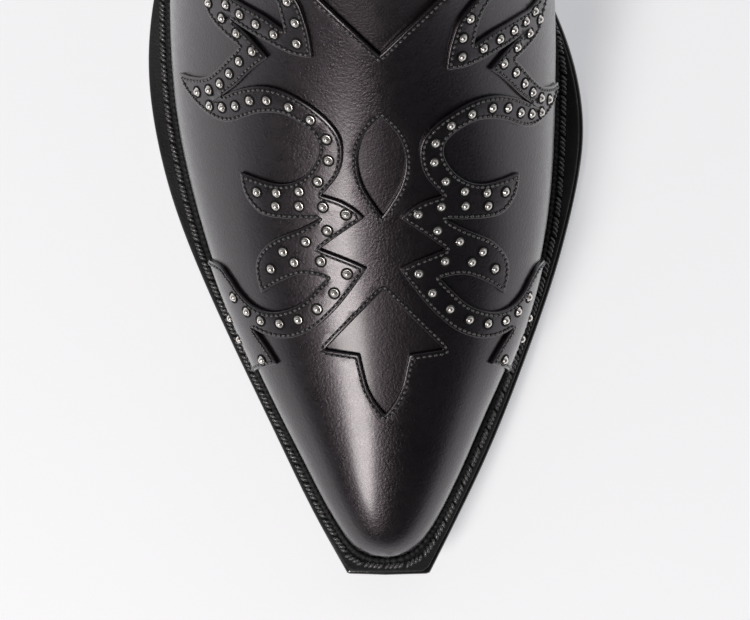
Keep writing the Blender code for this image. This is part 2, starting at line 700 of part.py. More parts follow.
def make_counter():
    size = (AROUND_HEEL, 8)
    patch("counter_cover", counter_corners, UPPER_LAYER, BLACK_CALF, size)
    patch("heel_counter", counter_corners, UNDER_LAYER, FIBREBOARD, size, (2, 2), 1)
    patch("heel_lining", counter_corners, LINING_LAYER, LINING, size, (0, 2))


def make_shaft():
    front, back = (12, 8), (12, AROUND_HEEL)
    patch("shaft_front", front_corners, UNDER_LAYER, BLACK_CALF, front)
    patch("shaft_back", back_corners, UNDER_LAYER, BLACK_CALF, back)
    patch("shaft_lining_front", front_corners, LINING_LAYER, LINING, front, (2, 0))
    patch("shaft_lining_back", back_corners, LINING_LAYER, LINING, back)
    leather("vamp_lining", vamp_outline(8.0, 2.0, 2.0), [], LINING_LAYER, LINING, toe_step(5.0, 9.0))


# ------------------------------------------------------------------ sole

def offset_outline(points, distance):
    """Closed plan outline moved inwards."""
    return grown(points, -distance)


def heel_end(half_lateral, half_medial, y_start, y_end, count):
    """Round back end in plan, from the medial side to the lateral side."""
    points = []
    for k in range(1, count):
        turn = math.pi * k / count
        half = half_medial if math.cos(turn) > 0 else half_lateral
        points.append((half * math.cos(turn), y_start + (y_end - y_start) * math.sin(turn)))
    return points


def sole_outline(step=6.0):
    """Plan of the outsole: flat toe, swung sides, narrow waist, round heel."""
    rows = list(zip(*SOLE_EDGE))
    lateral, medial = spline(rows[0], rows[1]), spline(rows[0], rows[2])
    start, end = rows[0][0], rows[0][-1]
    ys = np.linspace(start, end, round((end - start) / step) + 1)
    right = [(float(medial(y)), float(y)) for y in ys]
    left = [(-float(lateral(y)), float(y)) for y in ys]
    back = heel_end(rows[1][-1], rows[2][-1], end, SOLE_LENGTH, 14)
    toe = [(-TOE_CORNER, 0.0), (0.0, -0.3), (TOE_CORNER + 1, 0.0)]
    return right + back + left[::-1] + toe


def feather_outline(inset, step=6.0):
    """Plan of the feather line moved inwards."""
    stations = np.linspace(0, BACK_START, 46)
    y, _, share = base_line(stations)
    middle = centre_x(stations)
    sides = []
    for side in (1, -1):
        half = (feather[side](np.minimum(stations, HEEL_ARC)) - side * middle) * share
        sides.append([(float(m + side * h), float(v)) for m, h, v in zip(middle, half, y)])
    outline = sides[0] + sides[1][-2:0:-1]
    return even(offset_outline(even(outline, 2.0), inset), step)


def even(points, step):
    """Closed outline resampled at an even step."""
    points = np.asarray(points + points[:1], float)
    run = np.concatenate([[0], np.hypot(*np.diff(points, axis=0).T).cumsum()])
    count = max(8, round(run[-1] / step))
    at = np.linspace(0, run[-1], count, endpoint=False)
    return [(float(np.interp(s, run, points[:, 0])), float(np.interp(s, run, points[:, 1]))) for s in at]


def plate(name, outline, heights, look, step=12.0):
    """A flat outline bent to the sole's profile, between two heights above the sole's underside."""
    turned_outline = [(y, x) for x, y in outline]
    flat, faces = fill(turned_outline, [], lambda _: step, 0.4)
    flat = [(x, y) for y, x in flat]
    count = len(flat)
    points = []
    for height in heights:
        points += [(x, y, float(sole_z(y)) + height) for x, y in flat]
    solid = [tuple(reversed(face)) for face in faces]
    solid += [tuple(i + count for i in face) for face in faces]
    edges = {}
    for face in faces:
        for a, b in zip(face, face[1:] + face[:1]):
            edges[(a, b)] = edges.get((a, b), 0) + 1
    for a, b in edges:
        if (b, a) not in edges:
            solid.append((a, b, b + count, a + count))
    return add(name, points, solid, look)


def clip_y(outline, low, high):
    """Part of a plan outline between two values of y."""
    for limit, keep in ((low, 1), (high, -1)):
        kept = []
        for (x0, y0), (x1, y1) in zip(outline, outline[1:] + outline[:1]):
            inside0, inside1 = keep * (y0 - limit) >= 0, keep * (y1 - limit) >= 0
            if inside0:
                kept.append((x0, y0))
            if inside0 != inside1:
                t = (limit - y0) / (y1 - y0)
                kept.append((x0 + (x1 - x0) * t, limit))
        outline = kept
    return outline


def ring_part(outer, inner, low, high):
    """The strip between two outlines, within a range of y, as one outline open at one or both ends."""
    if low is None:
        outer_part = [p for p in outer if p[1] < high]
        inner_part = [p for p in inner if p[1] < high]
    else:
        outer_part = [p for p in outer if p[1] > low]
        inner_part = [p for p in inner if p[1] > low]
    limit = high if low is None else low
    outer_part = open_chain(outer_part, limit, outer)
    inner_part = open_chain(inner_part, limit, inner)
    return outer_part + inner_part[::-1]


def open_chain(part, limit, whole):
    """The points of part in order as one chain, ending exactly at the limit."""
    count = len(whole)
    keep = [p in part for p in whole]
    start = next(i for i in range(count) if keep[i] and not keep[i - 1])
    chain = []
    i = start
    while keep[i % count] and len(chain) < count:
        chain.append(whole[i % count])
        i += 1
    before, after = whole[start - 1], whole[i % count]
    chain = [cut(before, chain[0], limit)] + chain + [cut(after, chain[-1], limit)]
    return chain


def cut(p, q, limit):
    t = (limit - p[1]) / (q[1] - p[1])
    return (p[0] + (q[0] - p[0]) * t, limit)


def make_sole():
    outer = sole_outline()
    inner = feather_outline(WELT_INNER)
    plate("outsole", outer, OUTSOLE, SOLE_LEATHER)
    plate("welt", ring_part(outer, inner, None, RAND_START), WELT, WELT_LEATHER)
    plate("heel_rand", ring_part(outer, inner, RAND_START + GAP, None), HEEL_RAND, WELT_LEATHER)
    filler = feather_outline(WELT_INNER + 0.6)
    plate("cork_filler", clip_y(filler, 0, 168), FILLER, CORK)
    shank = [(-8.7, 169), (5.3, 169), (6.3, 200), (6.3, 250), (-9.7, 250), (-9.7, 200)]
    plate("shank", trace([[p] for p in shank], 8.0), (5.3, 7.3), STEEL)
    plate("insole", feather_outline(INSOLE_INSET, 9.0), INSOLE, INSOLE_LEATHER)
    plate("sock_liner", feather_outline(INSOLE_INSET + 0.4, 9.0), SOCK, LINING)


def heel_outline(height):
    """Plan of the heel stack at a height: straight breast, round back."""
    t = height / HEEL_TOP
    breast = HEEL_BREAST[0] + (HEEL_BREAST[1] - HEEL_BREAST[0]) * t
    back = HEEL_BACK[0] + (HEEL_BACK[1] - HEEL_BACK[0]) * t
    half = HEEL_HALF[0] + (HEEL_HALF[1] - HEEL_HALF[0]) * t**1.3
    centre = back - half
    points = [(HEEL_X + half * 0.97, breast), (HEEL_X + half, (breast * 0.6 + centre * 0.4))]
    for k in range(17):
        turn = math.pi * k / 16
        points.append((HEEL_X + half * math.cos(turn), centre + half * math.sin(turn)))
    points += [(HEEL_X - half, (breast * 0.6 + centre * 0.4)), (HEEL_X - half * 0.97, breast)]
    hollow = 2.0
    points += [(HEEL_X - half * 0.5, breast + hollow * 0.75), (HEEL_X, breast + hollow),
               (HEEL_X + half * 0.5, breast + hollow * 0.75)]
    return points


def lift(name, low, high, look):
    """One layer of the heel; high None follows the sole above it."""
    bottom = [(x, y, low) for x, y in heel_outline(low)]
    if high is None:
        top = [(x, y, float(sole_z(y)) - GAP) for x, y in heel_outline(HEEL_TOP)]
    else:
        top = [(x, y, high) for x, y in heel_outline(high)]
    count = len(bottom)
    if high is not None:
        faces = [tuple(reversed(range(count))), tuple(range(count, 2 * count))]
        points = bottom + top
    else:
        flat, inner = fill([(x, y) for x, y, _ in top], [], lambda _: 12.0, 0.4)
        points = bottom + [(x, y, float(sole_z(y)) - GAP) for x, y in flat]
        faces = [tuple(reversed(range(count)))] + [tuple(i + count for i in face) for face in inner]
    faces += [(i, (i + 1) % count, count + (i + 1) % count, count + i) for i in range(count)]
    return add(name, points, faces, look)


def make_heel():
    top_lift = lift("heel_top_lift", 0.0, TOP_LIFT, RUBBER)
    level = TOP_LIFT + GAP
    lowest = None
    for k in range(HEEL_LIFTS, 0, -1):
        high = level + LIFT if k > 1 else None
        made = lift(f"heel_lift_{k}", level, high, STACK_LEATHER)
        lowest = lowest or made
        level += LIFT + GAP
    centre = HEEL_BACK[0] - HEEL_HALF[0]
    spots = [(HEEL_X - 14, 252), (HEEL_X + 14, 252), (HEEL_X - 12, centre + 10), (HEEL_X + 12, centre + 10)]
    for k, (x, y) in enumerate(spots, 1):
        nail(k, x, y, (top_lift, lowest))


def turned(name, profile, x, y, look, steps=16):
    """Turned solid about a vertical axis: profile of (radius, height) from top to bottom."""
    mesh = bpy.data.meshes.new(name)
    points = [(r * MM, 0, z * MM) for r, z in profile]
    mesh.from_pydata(points, [(i, i + 1) for i in range(len(points) - 1)], [])
    made = bpy.data.objects.new(name, mesh)
    made.location = ((x + FRAME_X) * MM, (y + FRAME_Y) * MM, 0)
    screw = made.modifiers.new("turn", "SCREW")
    screw.steps = screw.render_steps = steps
    screw.use_merge_vertices = True
    screw.merge_threshold = 0.00001
    made.data.materials.append(look)
    return made


def nail(number, x, y, pierced):
    """Brad through the top lift into the lowest leather lift, in a drilled hole with a sunk head."""
    head, shank, depth, sunk = 1.7, 0.9, 11.0, 0.5
    profile = [(0, depth), (shank * 0.4, depth - 1.2), (shank, depth - 2.4), (shank, sunk + 1.4),
               (head, sunk + 1.0), (head, sunk), (0, sunk)]
    made = turned(f"heel_nail_{number}", profile, x, y, STEEL)
    BOOT.objects.link(made)
    made.data.shade_smooth()
    clear = GAP
    bore = [(0, depth + clear), (shank + clear, depth + clear), (shank + clear, sunk + 1.4 + clear * 1.5),
            (head + clear, sunk + 1.4), (head + clear, -1.0), (0, -1.0)]
    cutter = turned(f"cut_nail_{number}", bore, x, y, STEEL)
    CUTTERS.objects.link(cutter)
    cutter.hide_render = True
    cutter.display_type = "WIRE"
    for solid in pierced:
        hole = solid.modifiers.new(f"nail_{number}", "BOOLEAN")
        hole.operation = "DIFFERENCE"
        hole.object = cutter


# ------------------------------------------------------------------ trim and straps

def swept(name, rings, look, closed=True):
    """Solid through rings of points; closed joins the last ring to the first."""
    count = len(rings[0])
    points = [p for ring in rings for p in ring]
    faces = []
    for i in range(len(rings) if closed else len(rings) - 1):
        j = (i + 1) % len(rings)
        for k in range(count):
            m = (k + 1) % count
            faces.append((i * count + k, i * count + m, j * count + m, j * count + k))
    if not closed:
        faces += [tuple(range(count)), tuple(range((len(rings) - 1) * count, len(rings) * count))]
    return add(name, points, faces, look)


def collar_points():
    """(side, share) round the collar on the shaft's own lattice lines, starting at the front."""
    shares = np.concatenate([np.linspace(0, 0.5, 8)[:-1], np.linspace(0.5, 1, AROUND_HEEL)])
    return [(1, v) for v in shares[:-1]] + [(-1, v) for v in shares[:0:-1]]


def make_binding():
    outer, inner, wall = -0.9, -6.3, 0.8
    depth = 5.0
    profile = [(outer, -depth), (outer, 1.2), (inner, 1.2), (inner, -depth), (inner + wall, -depth),
               (inner + wall, 0.4), (outer - wall, 0.4), (outer - wall, -depth)]
    rings = []
    for side, share in collar_points():
        edge = float(collar_height(share))
        rings.append([above_loft(side, share, edge + rise, offset) for offset, rise in profile])
    swept("collar_binding", rings, BLACK_CALF)


def above_loft(side, share, height, depth):
    """Point at a height, share and depth; above the collar the loft's walls go straight up."""
    u = station_at(min(height, COLLAR_HEIGHT), np.array([share]), side)
    point = HALVES[side].at(u, np.array([share]), depth)[0]
    return (float(point[0]), float(point[1]), float(point[2]) + max(0.0, height - COLLAR_HEIGHT))


def make_piping():
    """Beads over the side seams, from the vamp's corner to the straps."""
    half_bead, rise, sides = 1.5, 1.3, 5
    for side, name in ((-1, "lateral"), (1, "medial")):
        half = HALVES[side]
        high = float(station_at(COLLAR_HEIGHT - TAB_DEPTH - 3.0, np.array([0.5]), side)[0])
        rings = []
        for t in np.linspace(0, 1, 20):
            u = PIPING_START + (high - PIPING_START) * t**1.3
            middle, girth = float(seam_share(u)), float(half.half_girth(u))
            ring = []
            for k in range(sides + 1):
                turn = math.pi * k / sides
                share = middle + half_bead * math.cos(turn) / girth
                ring.append(tuple(half.at(u, share, UNDER_LAYER[0] + 2 * GAP + rise * math.sin(turn))))
            rings.append(ring)
        swept(f"side_piping_{name}", rings, BLACK_CALF, closed=False)


def make_straps():
    for side, name in ((-1, "lateral"), (1, "medial")):
        half = HALVES[side]
        outer_face, inner_face = STRAP_FACES
        for place_name, face in (("outer", outer_face), ("inner", inner_face - STRAP_LEATHER)):
            rings = []
            for rise in np.linspace(-TAB_DEPTH, 1.2, 7):
                ring = []
                for depth in (face, face + STRAP_LEATHER):
                    across = np.linspace(-STRAP_WIDTH / 2, STRAP_WIDTH / 2, 7)
                    if depth != face:
                        across = across[::-1]
                    for offset in across:
                        ring.append(strap_point(half, offset, rise, depth))
                rings.append(ring)
            swept(f"strap_{place_name}_tab_{name}", rings, BLACK_CALF, closed=False)
        loop(side, name, outer_face, inner_face)


def strap_point(half, offset, rise, depth):
    """Point of the strap: offset along the boot, rise over the collar's peak, depth from the loft."""
    share = 0.5 + offset / float(half.half_girth(TOP))
    return above_loft(half.side, share, COLLAR_HEIGHT + rise, depth)


def loop(side, name, outer_face, inner_face):
    """The free loop of a pull strap, on its hinge line along the collar's edge."""
    half = HALVES[side]
    outer = np.array(strap_point(half, 0, 0, outer_face + STRAP_LEATHER / 2))
    inner = np.array(strap_point(half, 0, 0, inner_face - STRAP_LEATHER / 2))
    middle = (outer + inner) / 2
    pivot = Vector((middle[0], middle[1], COLLAR_HEIGHT + HINGE_RISE))
    reach = abs(outer[0] - inner[0]) / 2
    path = []
    for k in range(13):
        turn = math.pi * k / 12
        lean = reach + LOOP_BULGE * math.sin(turn) ** 0.8
        path.append((math.cos(turn) * lean, LOOP_START + (STRAP_RISE - LOOP_START) * math.sin(turn) ** 0.75))
    rings = []
    for i, (across, rise) in enumerate(path):
        before = path[max(0, i - 1)]
        after = path[min(len(path) - 1, i + 1)]
        along = Vector((after[0] - before[0], after[1] - before[1])).normalized()
        normal = Vector((along.y, -along.x)) * (STRAP_LEATHER / 2)
        ring = []
        for sign, ends in ((1, (-1, 1)), (-1, (1, -1))):
            for end in ends:
                x = pivot.x + side * (across + sign * normal.x)
                z = COLLAR_HEIGHT + rise + sign * normal.y
                ring.append((x, pivot.y + end * STRAP_WIDTH / 2, z))
        rings.append(ring)
    made = swept(f"pull_strap_{name}", rings, BLACK_CALF, closed=False)
    origin = Vector(place([pivot])[0])
    for vertex in made.data.vertices:
        vertex.co -= origin
    made.location = origin


# ------------------------------------------------------------------ build

for old in list(bpy.data.objects):
    bpy.data.objects.remove(old, do_unlink=True)
BOOT = bpy.data.collections.new("western_boot")
CUTTERS = bpy.data.collections.new("cutters")
bpy.context.scene.collection.children.link(BOOT)
bpy.context.scene.collection.children.link(CUTTERS)

BLACK_CALF = material("black_calf", (0.012, 0.012, 0.014), 0.32)
LINING = material("lining", (0.05, 0.045, 0.04), 0.7)
FIBREBOARD = material("fibreboard", (0.35, 0.26, 0.17), 0.8)
WELT_LEATHER = material("welt_leather", (0.015, 0.014, 0.014), 0.6)
SOLE_LEATHER = material("sole_leather", (0.02, 0.018, 0.017), 0.4)
STACK_LEATHER = material("stack_leather", (0.02, 0.018, 0.017), 0.45)
INSOLE_LEATHER = material("insole_leather", (0.45, 0.31, 0.19), 0.7)
CORK = material("cork", (0.36, 0.22, 0.12), 0.9)
RUBBER = material("rubber", (0.02, 0.02, 0.02), 0.75)
STEEL = material("steel", (0.6, 0.6, 0.6), 0.3, 1.0)

make_vamp()
make_overlays()
make_inlays()
make_toe_box()
make_counter()
make_shaft()
make_sole()
make_heel()
make_binding()
make_piping()
make_straps()
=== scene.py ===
"""Right western boot: high-resolution leather, stitching, studs, welt, heel and pull straps."""
import math

import bmesh
import bpy
import numpy as np
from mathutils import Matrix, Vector
from mathutils.geometry import delaunay_2d_cdt


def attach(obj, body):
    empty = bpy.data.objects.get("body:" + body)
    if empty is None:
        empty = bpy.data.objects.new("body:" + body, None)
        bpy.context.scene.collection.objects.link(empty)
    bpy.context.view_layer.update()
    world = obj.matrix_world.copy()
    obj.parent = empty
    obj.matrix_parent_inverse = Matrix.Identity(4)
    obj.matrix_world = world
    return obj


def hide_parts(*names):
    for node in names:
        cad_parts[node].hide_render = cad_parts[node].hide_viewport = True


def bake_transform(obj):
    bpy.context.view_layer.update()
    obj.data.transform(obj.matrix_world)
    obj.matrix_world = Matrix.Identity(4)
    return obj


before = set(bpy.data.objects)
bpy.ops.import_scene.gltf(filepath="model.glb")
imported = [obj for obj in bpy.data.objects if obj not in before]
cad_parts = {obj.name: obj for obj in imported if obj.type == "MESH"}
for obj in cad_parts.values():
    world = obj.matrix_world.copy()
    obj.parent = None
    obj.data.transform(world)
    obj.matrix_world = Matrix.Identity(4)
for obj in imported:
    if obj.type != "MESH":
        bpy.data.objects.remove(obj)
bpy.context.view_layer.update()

MM = 0.001
GAP = 0.3

# Where the loft's own origin (toe tip of the sole, ground level) lies in the part's frame
FRAME_X = 3.85
FRAME_Y = -152.35

# Profile of the loft: one value for each station, from the toe tip to the collar
RIDGE_Y = (4.2, 5.2, 8.0, 12.5, 19.0, 29.0, 42.0, 58.0, 76.0, 95.0, 113.0, 130.0, 146.0, 160.0, 171.5,
           180.5, 186.5, 190.5, 192.5, 193.5, 193.5, 192.8, 191.5, 190.0, 188.5, 187.0, 185.5, 184.0, 182.5)
RIDGE_Z = (23.0, 26.3, 29.5, 32.2, 34.8, 37.8, 41.2, 45.6, 51.6, 59.2, 67.8, 77.4, 88.4, 100.6, 113.4,
           127.0, 141.0, 155.5, 170.5, 185.5, 200.5, 215.5, 231.0, 247.0, 263.0, 279.5, 296.0, 313.0, 330.0)
BASE_Y = (4.2, 5.2, 8.0, 12.5, 19.0, 29.0, 42.0, 58.0, 76.0, 96.0, 117.0, 140.0, 165.0, 190.0, 216.0,
          242.0, 268.0)
BACK_Y = (301.5, 304.0, 304.0, 302.0, 299.2, 297.2, 296.8, 298.0, 300.5, 303.6, 306.5)
BACK_Z = (50.3, 67.0, 88.0, 112.0, 138.0, 166.0, 196.0, 228.0, 261.0, 295.0, 330.0)
HEEL_ARC = len(BASE_Y) - 1
BACK_START = HEEL_ARC + 2
TOP = len(RIDGE_Y) - 1
HEEL_RADIUS = BACK_Y[0] - BASE_Y[-1]

# Half-widths at the feather line (where upper meets welt) and at the widest point, lateral and medial
FEATHER = {
    -1: (0, 4.9, 8.4, 11.4, 15.1, 20.1, 26.5, 33.9, 41.0, 46.8, 50.3, 50.0, 44.5, 37.0, 33.0, 32.5, 33.0),
    1: (0, 4.7, 8.1, 11.2, 14.6, 19.2, 24.6, 31.2, 36.6, 40.6, 41.5, 38.0, 27.0, 20.5, 21.5, 26.5, 30.0),
}
WIDEST = {
    -1: (0, 5.3, 9.0, 12.1, 15.9, 21.0, 27.6, 35.2, 42.6, 48.6, 52.8, 54.4, 53.5, 50.0, 46.0, 42.5, 40.0,
         38.7, 38.0, 37.9, 38.2, 39.0, 40.5, 42.5, 44.7, 47.0, 49.0, 50.7, 52.0),
    1: (0, 5.1, 8.7, 11.9, 15.4, 20.1, 25.7, 32.6, 38.2, 41.5, 42.6, 42.6, 41.6, 40.2, 38.8, 37.6, 36.8,
        36.3, 36.0, 36.0, 36.4, 37.3, 38.8, 40.8, 43.0, 45.2, 47.2, 48.9, 50.0),
}
# (station, value): height of the widest point as a share of the section, roundness above and below it
WIDEST_AT = {
    -1: ((0, .35), (3, .33), (6, .30), (10, .26), (13, .30), (16, .42), (19, .50), (28, .5)),
    1: ((0, .35), (3, .33), (6, .30), (10, .28), (13, .40), (16, .46), (19, .50), (28, .5)),
}
ROUND_ABOVE = {
    -1: ((0, 2.0), (4, 1.95), (8, 1.8), (12, 1.65), (15, 1.65), (18, 1.85), (28, 2.0)),
    1: ((0, 2.0), (4, 2.05), (8, 2.0), (12, 1.75), (15, 1.7), (18, 1.85), (28, 2.0)),
}
ROUND_BELOW = {
    -1: ((0, 2.2), (6, 2.2), (12, 2.0), (16, 2.0), (20, 2.0), (28, 2.0)),
    1: ((0, 2.2), (6, 2.2), (12, 1.7), (16, 1.9), (20, 2.0), (28, 2.0)),
}
# The ridge wanders from the toe's middle towards the lateral side: (station, x)
CENTRE_X = ((0, .4), (8, -.8), (11, -1.7), (28, -1.7))

# Underside of the sole (y, z): toe spring, ball, waist and heel seat
SOLE_PROFILE = ((0, 11), (30, 6.5), (60, 3), (90, .8), (115, 0), (140, 1.5), (160, 6), (180, 13.5),
                (200, 22.5), (220, 31), (240, 36.5), (270, 39.5), (303, 41))
# Sole edge half-widths (y, lateral, medial) from the toe's corner to the heel's sides
SOLE_EDGE = ((1.2, 10.4, 11.6), (14, 17.6, 18.1), (34, 27.5, 27.5), (54.5, 37.4, 35.6), (75, 46.8, 42.8),
             (95, 54.5, 48.1), (110, 58.4, 50.4), (126, 60.6, 49.1), (141, 60.1, 44.3), (155, 57.2, 37.5),
             (172, 50.5, 29.5), (190, 43.0, 25.0), (210, 38.2, 25.2), (232, 36.6, 29.5), (255, 37.0, 33.4),
             (270, 36.8, 33.8))
SOLE_LENGTH = 305.0
TOE_CORNER = 9.2

# Layers of the upper: (height of the outer face over the loft, thickness)
OVERLAY_LAYER = (1.05, 1.05)
VAMP_LAYER = (0.0, 1.2)
COUNTER_LAYER = (0.0, 1.5)
INLAY_LAYER = (-1.2, 1.2)
SHAFT_LAYER = (-1.6, 1.5)
LINING_LAYER = (-4.0, 1.2)
SHAFT_LINING_LAYER = (-3.9, 1.2)

# Bottom pieces: heights over the sole's underside, inset from the feather line, and start of the heel rand
OUTSOLE_TOP = 5.2
WELT_TOP = 8.0
RAND_TOP = 7.9
FEATHER_HEIGHT = 8.3
WELT_INNER = 4.0
RAND_START = 232.0

# Distance between stitches on the vamp, on shaft and straps, and on the welt
VAMP_PITCH = 1.5
SHAFT_PITCH = 2.2
WELT_PITCH = 5.2

# Vamp: V throat and top line as (run along the ridge, girth from it), down to the side seam
VAMP_TOP = ((138.1, 0.0), (146, 7.6), (153.4, 15.5), (160.5, 24), (167, 34), (173, 45), (181, 57), (194, 71),
            (210.5, 86))
LENS = (((116.2, 4.2), (109.6, 6.0), (102.3, 4.6), (94.6, 0.0)),
        ((102.3, -4.6), (109.6, -6.0), (116.2, -4.2), (121.2, 0.0)))
SPADE_HALF = (((59.5, 15.2),), ((58.2, 6.3),), ((54, 5.4), (49.6, 4.3), (45.7, 2.3), (42.7, 0.0)))
SPADE_TOP = (75.0, 0.0)
INLAY_MARGIN = 4.0
LENS_INLAY_GROWTH = (1.27, 1.7)

# Wing overlay, as strokes of (run, girth): each runs on smoothly from the last point before it.
# WELT_EDGE marks the stroke along the welt, whose girth follows the feather line.
WELT_EDGE = None
WING = (
    ((154, 58.5), (149, 53.5), (144, 50), (140.7, 44.9), (137.4, 38.4)),
    ((135, 41.4), (131.5, 46), (129.4, 50.5), (129, 57), (129.6, 64)),
    ((125.3, 59), (120.3, 49), (118.9, 41.4), (121.3, 32), (120.9, 24), (116.5, 17), (111.4, 15.6),
     (105.5, 19.5), (103.5, 26.5), (106.5, 38.2)),
    ((100.7, 36.7), (95.8, 32), (94.3, 25), (94.2, 15.8)),
    ((91.5, 21), (88.5, 28.5), (84.7, 32.9), (80.3, 34), (74.4, 32.5)),
    ((76.9, 28.3), (79.2, 22.5), (79.5, 18.5), (78.5, 14.1)),
    ((72.2, 20.6), (70, 26), (69.8, 31), (71.5, 36), (75, 40.7), (79, 44.5), (82.5, 50), (84.5, WELT_EDGE)),
    ((76, WELT_EDGE), (68, WELT_EDGE), (60, WELT_EDGE), (53.5, WELT_EDGE)),
    ((56, 28.9),),
    ((60.9, 32.5), (65.4, 36.5)),
    ((64, 33), (62.9, 28.5), (62.9, 24), (64.5, 19), (67, 15.3), (71.5, 10.8), (77.5, 6.3), (81.1, 4)),
    ((83.2, 8.3), (86.2, 15.7)),
    ((89, 12), (94.4, 4.4)),
    ((96.7, 6.7), (99, 10.5), (100.5, 15)),
    ((105.4, 11), (110, 9.6), (115, 9.9), (119.5, 12.8), (124, 18.5), (127, 25), (128, 31.5), (127, 38.5),
     (125.2, 44)),
    ((128, 39.2), (131.7, 34.6), (135.3, 29.3)),
    ((137.9, 32.2), (140.8, 36), (143.5, 40.8)),
    ((141.6, 36), (139.7, 31), (137.9, 26.4), (136.4, 22), (135.7, 16.7)),
    ((140.7, 17.4), (145.1, 18.6), (150.3, 20.9), (156, 26.5), (160, 32.5), (163, 40)),
    ((158, 35), (155, 31.5), (152.6, 28.6), (148.5, 26.3), (142.6, 24.6)),
    ((145.4, 30), (147.3, 35.5), (148.9, 41), (150.5, 47), (154.5, 55), (160, 66)),
)
WING_CLEAR_OF_WELT = 5.0
# Above this run the medial wing sits lower and the lateral one higher: (run, shift for each mm beyond it)
WING_SKEW = (105.0, 0.053)

# (station, degrees) the section's lower curve has turned when it meets the feather line or the back
TURN_END = ((0, 52), (16, 52), (17, 58), (17.5, 70), (18, 90), (28, 90))
# Stations between which the loft is relaxed round the heel; share at which the upper turns under
HEEL_EASE = (16.2, 19.8)
TURN_UNDER = 0.94
# Side seam as (station, share of the half girth); it ends where vamp and counter cover meet
SEAM = ((15, .70), (15.5, .605), (16.2, .505), (16.8, .445), (17.5, .405), (18.5, .388), (19.6, .398),
        (21.2, .44), (22.6, .477), (24.5, .505), (26, .507), (28, .5))
# Counter cover's top line as (station, share), from the side seam to the back, and its lowest front point
COUNTER_TOP = ((15, .70), (15.55, .694), (16.25, .688), (17, .68), (18.2, .695), (19.1, .775), (19.8, .85),
               (20.3, .922), (20.55, 1.0))
COUNTER_FRONT = 13.6
SHAFT_TUCK = 9.0
COUNTER_TUCK = 0.26
COLLAR_HEIGHT = 330.0
COLLAR_TURN = 0.5
FRONT_DIP = 48.0
BACK_DIP = 40.0

# Heel: underslung stack
HEEL_LIFTS = 5
TOP_LIFT = 6.0
LIFT = 6.0
HEEL_BREAST = (246.0, 238.5)
HEEL_BACK = (291.0, 303.6)
HEEL_HALF = (27.0, 34.6)
HEEL_X = -1.7
HEEL_TOP = 40.0

# Collar binding and pull straps; faces are (outer, inner) depths over the loft
BINDING_FACES = (-0.75, -6.3)
BINDING_DEPTH = 5.0
STRAP_FACES = (-0.5, -6.7)
STRAP_WIDTH = 32.0
STRAP_RISE = 27.0
STRAP_LEATHER = 1.8
LOOP_BULGE = 4.5
TAB_DEPTH = 46.0


# ------------------------------------------------------------------ the loft

def unit(vectors):
    return vectors / np.maximum(np.linalg.norm(vectors, axis=-1, keepdims=True), 1e-9)


def spline(x, y):
    """Natural cubic spline through the points, as a function."""
    x = np.asarray(x, float)
    y = np.asarray(y, float)
    n = len(x)
    step = np.diff(x)
    system = np.eye(n)
    right = np.zeros(n)
    for i in range(1, n - 1):
        system[i, i - 1:i + 2] = step[i - 1], 2 * (step[i - 1] + step[i]), step[i]
        right[i] = 6 * ((y[i + 1] - y[i]) / step[i] - (y[i] - y[i - 1]) / step[i - 1])
    bend = np.linalg.solve(system, right)

    def curve(q):
        q = np.asarray(q, float)
        i = np.clip(np.searchsorted(x, q) - 1, 0, n - 2)
        left, after, before = step[i], x[i + 1] - q, q - x[i]
        cubic = (bend[i] * after**3 + bend[i + 1] * before**3) / (6 * left)
        return (cubic + (y[i] / left - bend[i] * left / 6) * after
                + (y[i + 1] / left - bend[i + 1] * left / 6) * before)
    return curve


def along_stations(values, parity=0):
    """Spline over station numbers. Parity 1 or -1 carries it evenly or oddly through the toe tip."""
    values = list(values)
    if parity == 0:
        return spline(range(len(values)), values)
    mirrored = [v if parity > 0 else 2 * values[0] - v for v in values[3:0:-1]]
    return spline(range(-3, len(values)), mirrored + values)


def pairs(table):
    return spline(*zip(*table))


ridge_y = along_stations(RIDGE_Y, 1)
ridge_z = along_stations(RIDGE_Z, -1)
base_y = along_stations(BASE_Y, 1)
back_y = spline(range(BACK_START, TOP + 1), BACK_Y)
back_z = spline(range(BACK_START, TOP + 1), BACK_Z)
sole_z = pairs(SOLE_PROFILE)
centre_x = pairs(CENTRE_X)
feather = {side: along_stations(FEATHER[side], -1) for side in FEATHER}
widest = {side: along_stations(WIDEST[side], -1) for side in WIDEST}
widest_at = {side: pairs(WIDEST_AT[side]) for side in WIDEST_AT}
above = {side: pairs(ROUND_ABOVE[side]) for side in ROUND_ABOVE}
below = {side: pairs(ROUND_BELOW[side]) for side in ROUND_BELOW}


def base_line(u):
    """Where a section starts: (y, z) on the feather line or the back, and the share of its width left."""
    turn = np.clip((u - HEEL_ARC) * math.pi / 4, 0, math.pi / 2)
    y = np.where(u < HEEL_ARC, base_y(np.minimum(u, HEEL_ARC)), BASE_Y[-1] + HEEL_RADIUS * np.sin(turn))
    z = sole_z(y) + FEATHER_HEIGHT
    on_back = u > BACK_START
    y = np.where(on_back, back_y(np.maximum(u, BACK_START)), y)
    z = np.where(on_back, back_z(np.maximum(u, BACK_START)), z)
    return y, z, np.cos(turn) * (u < BACK_START)


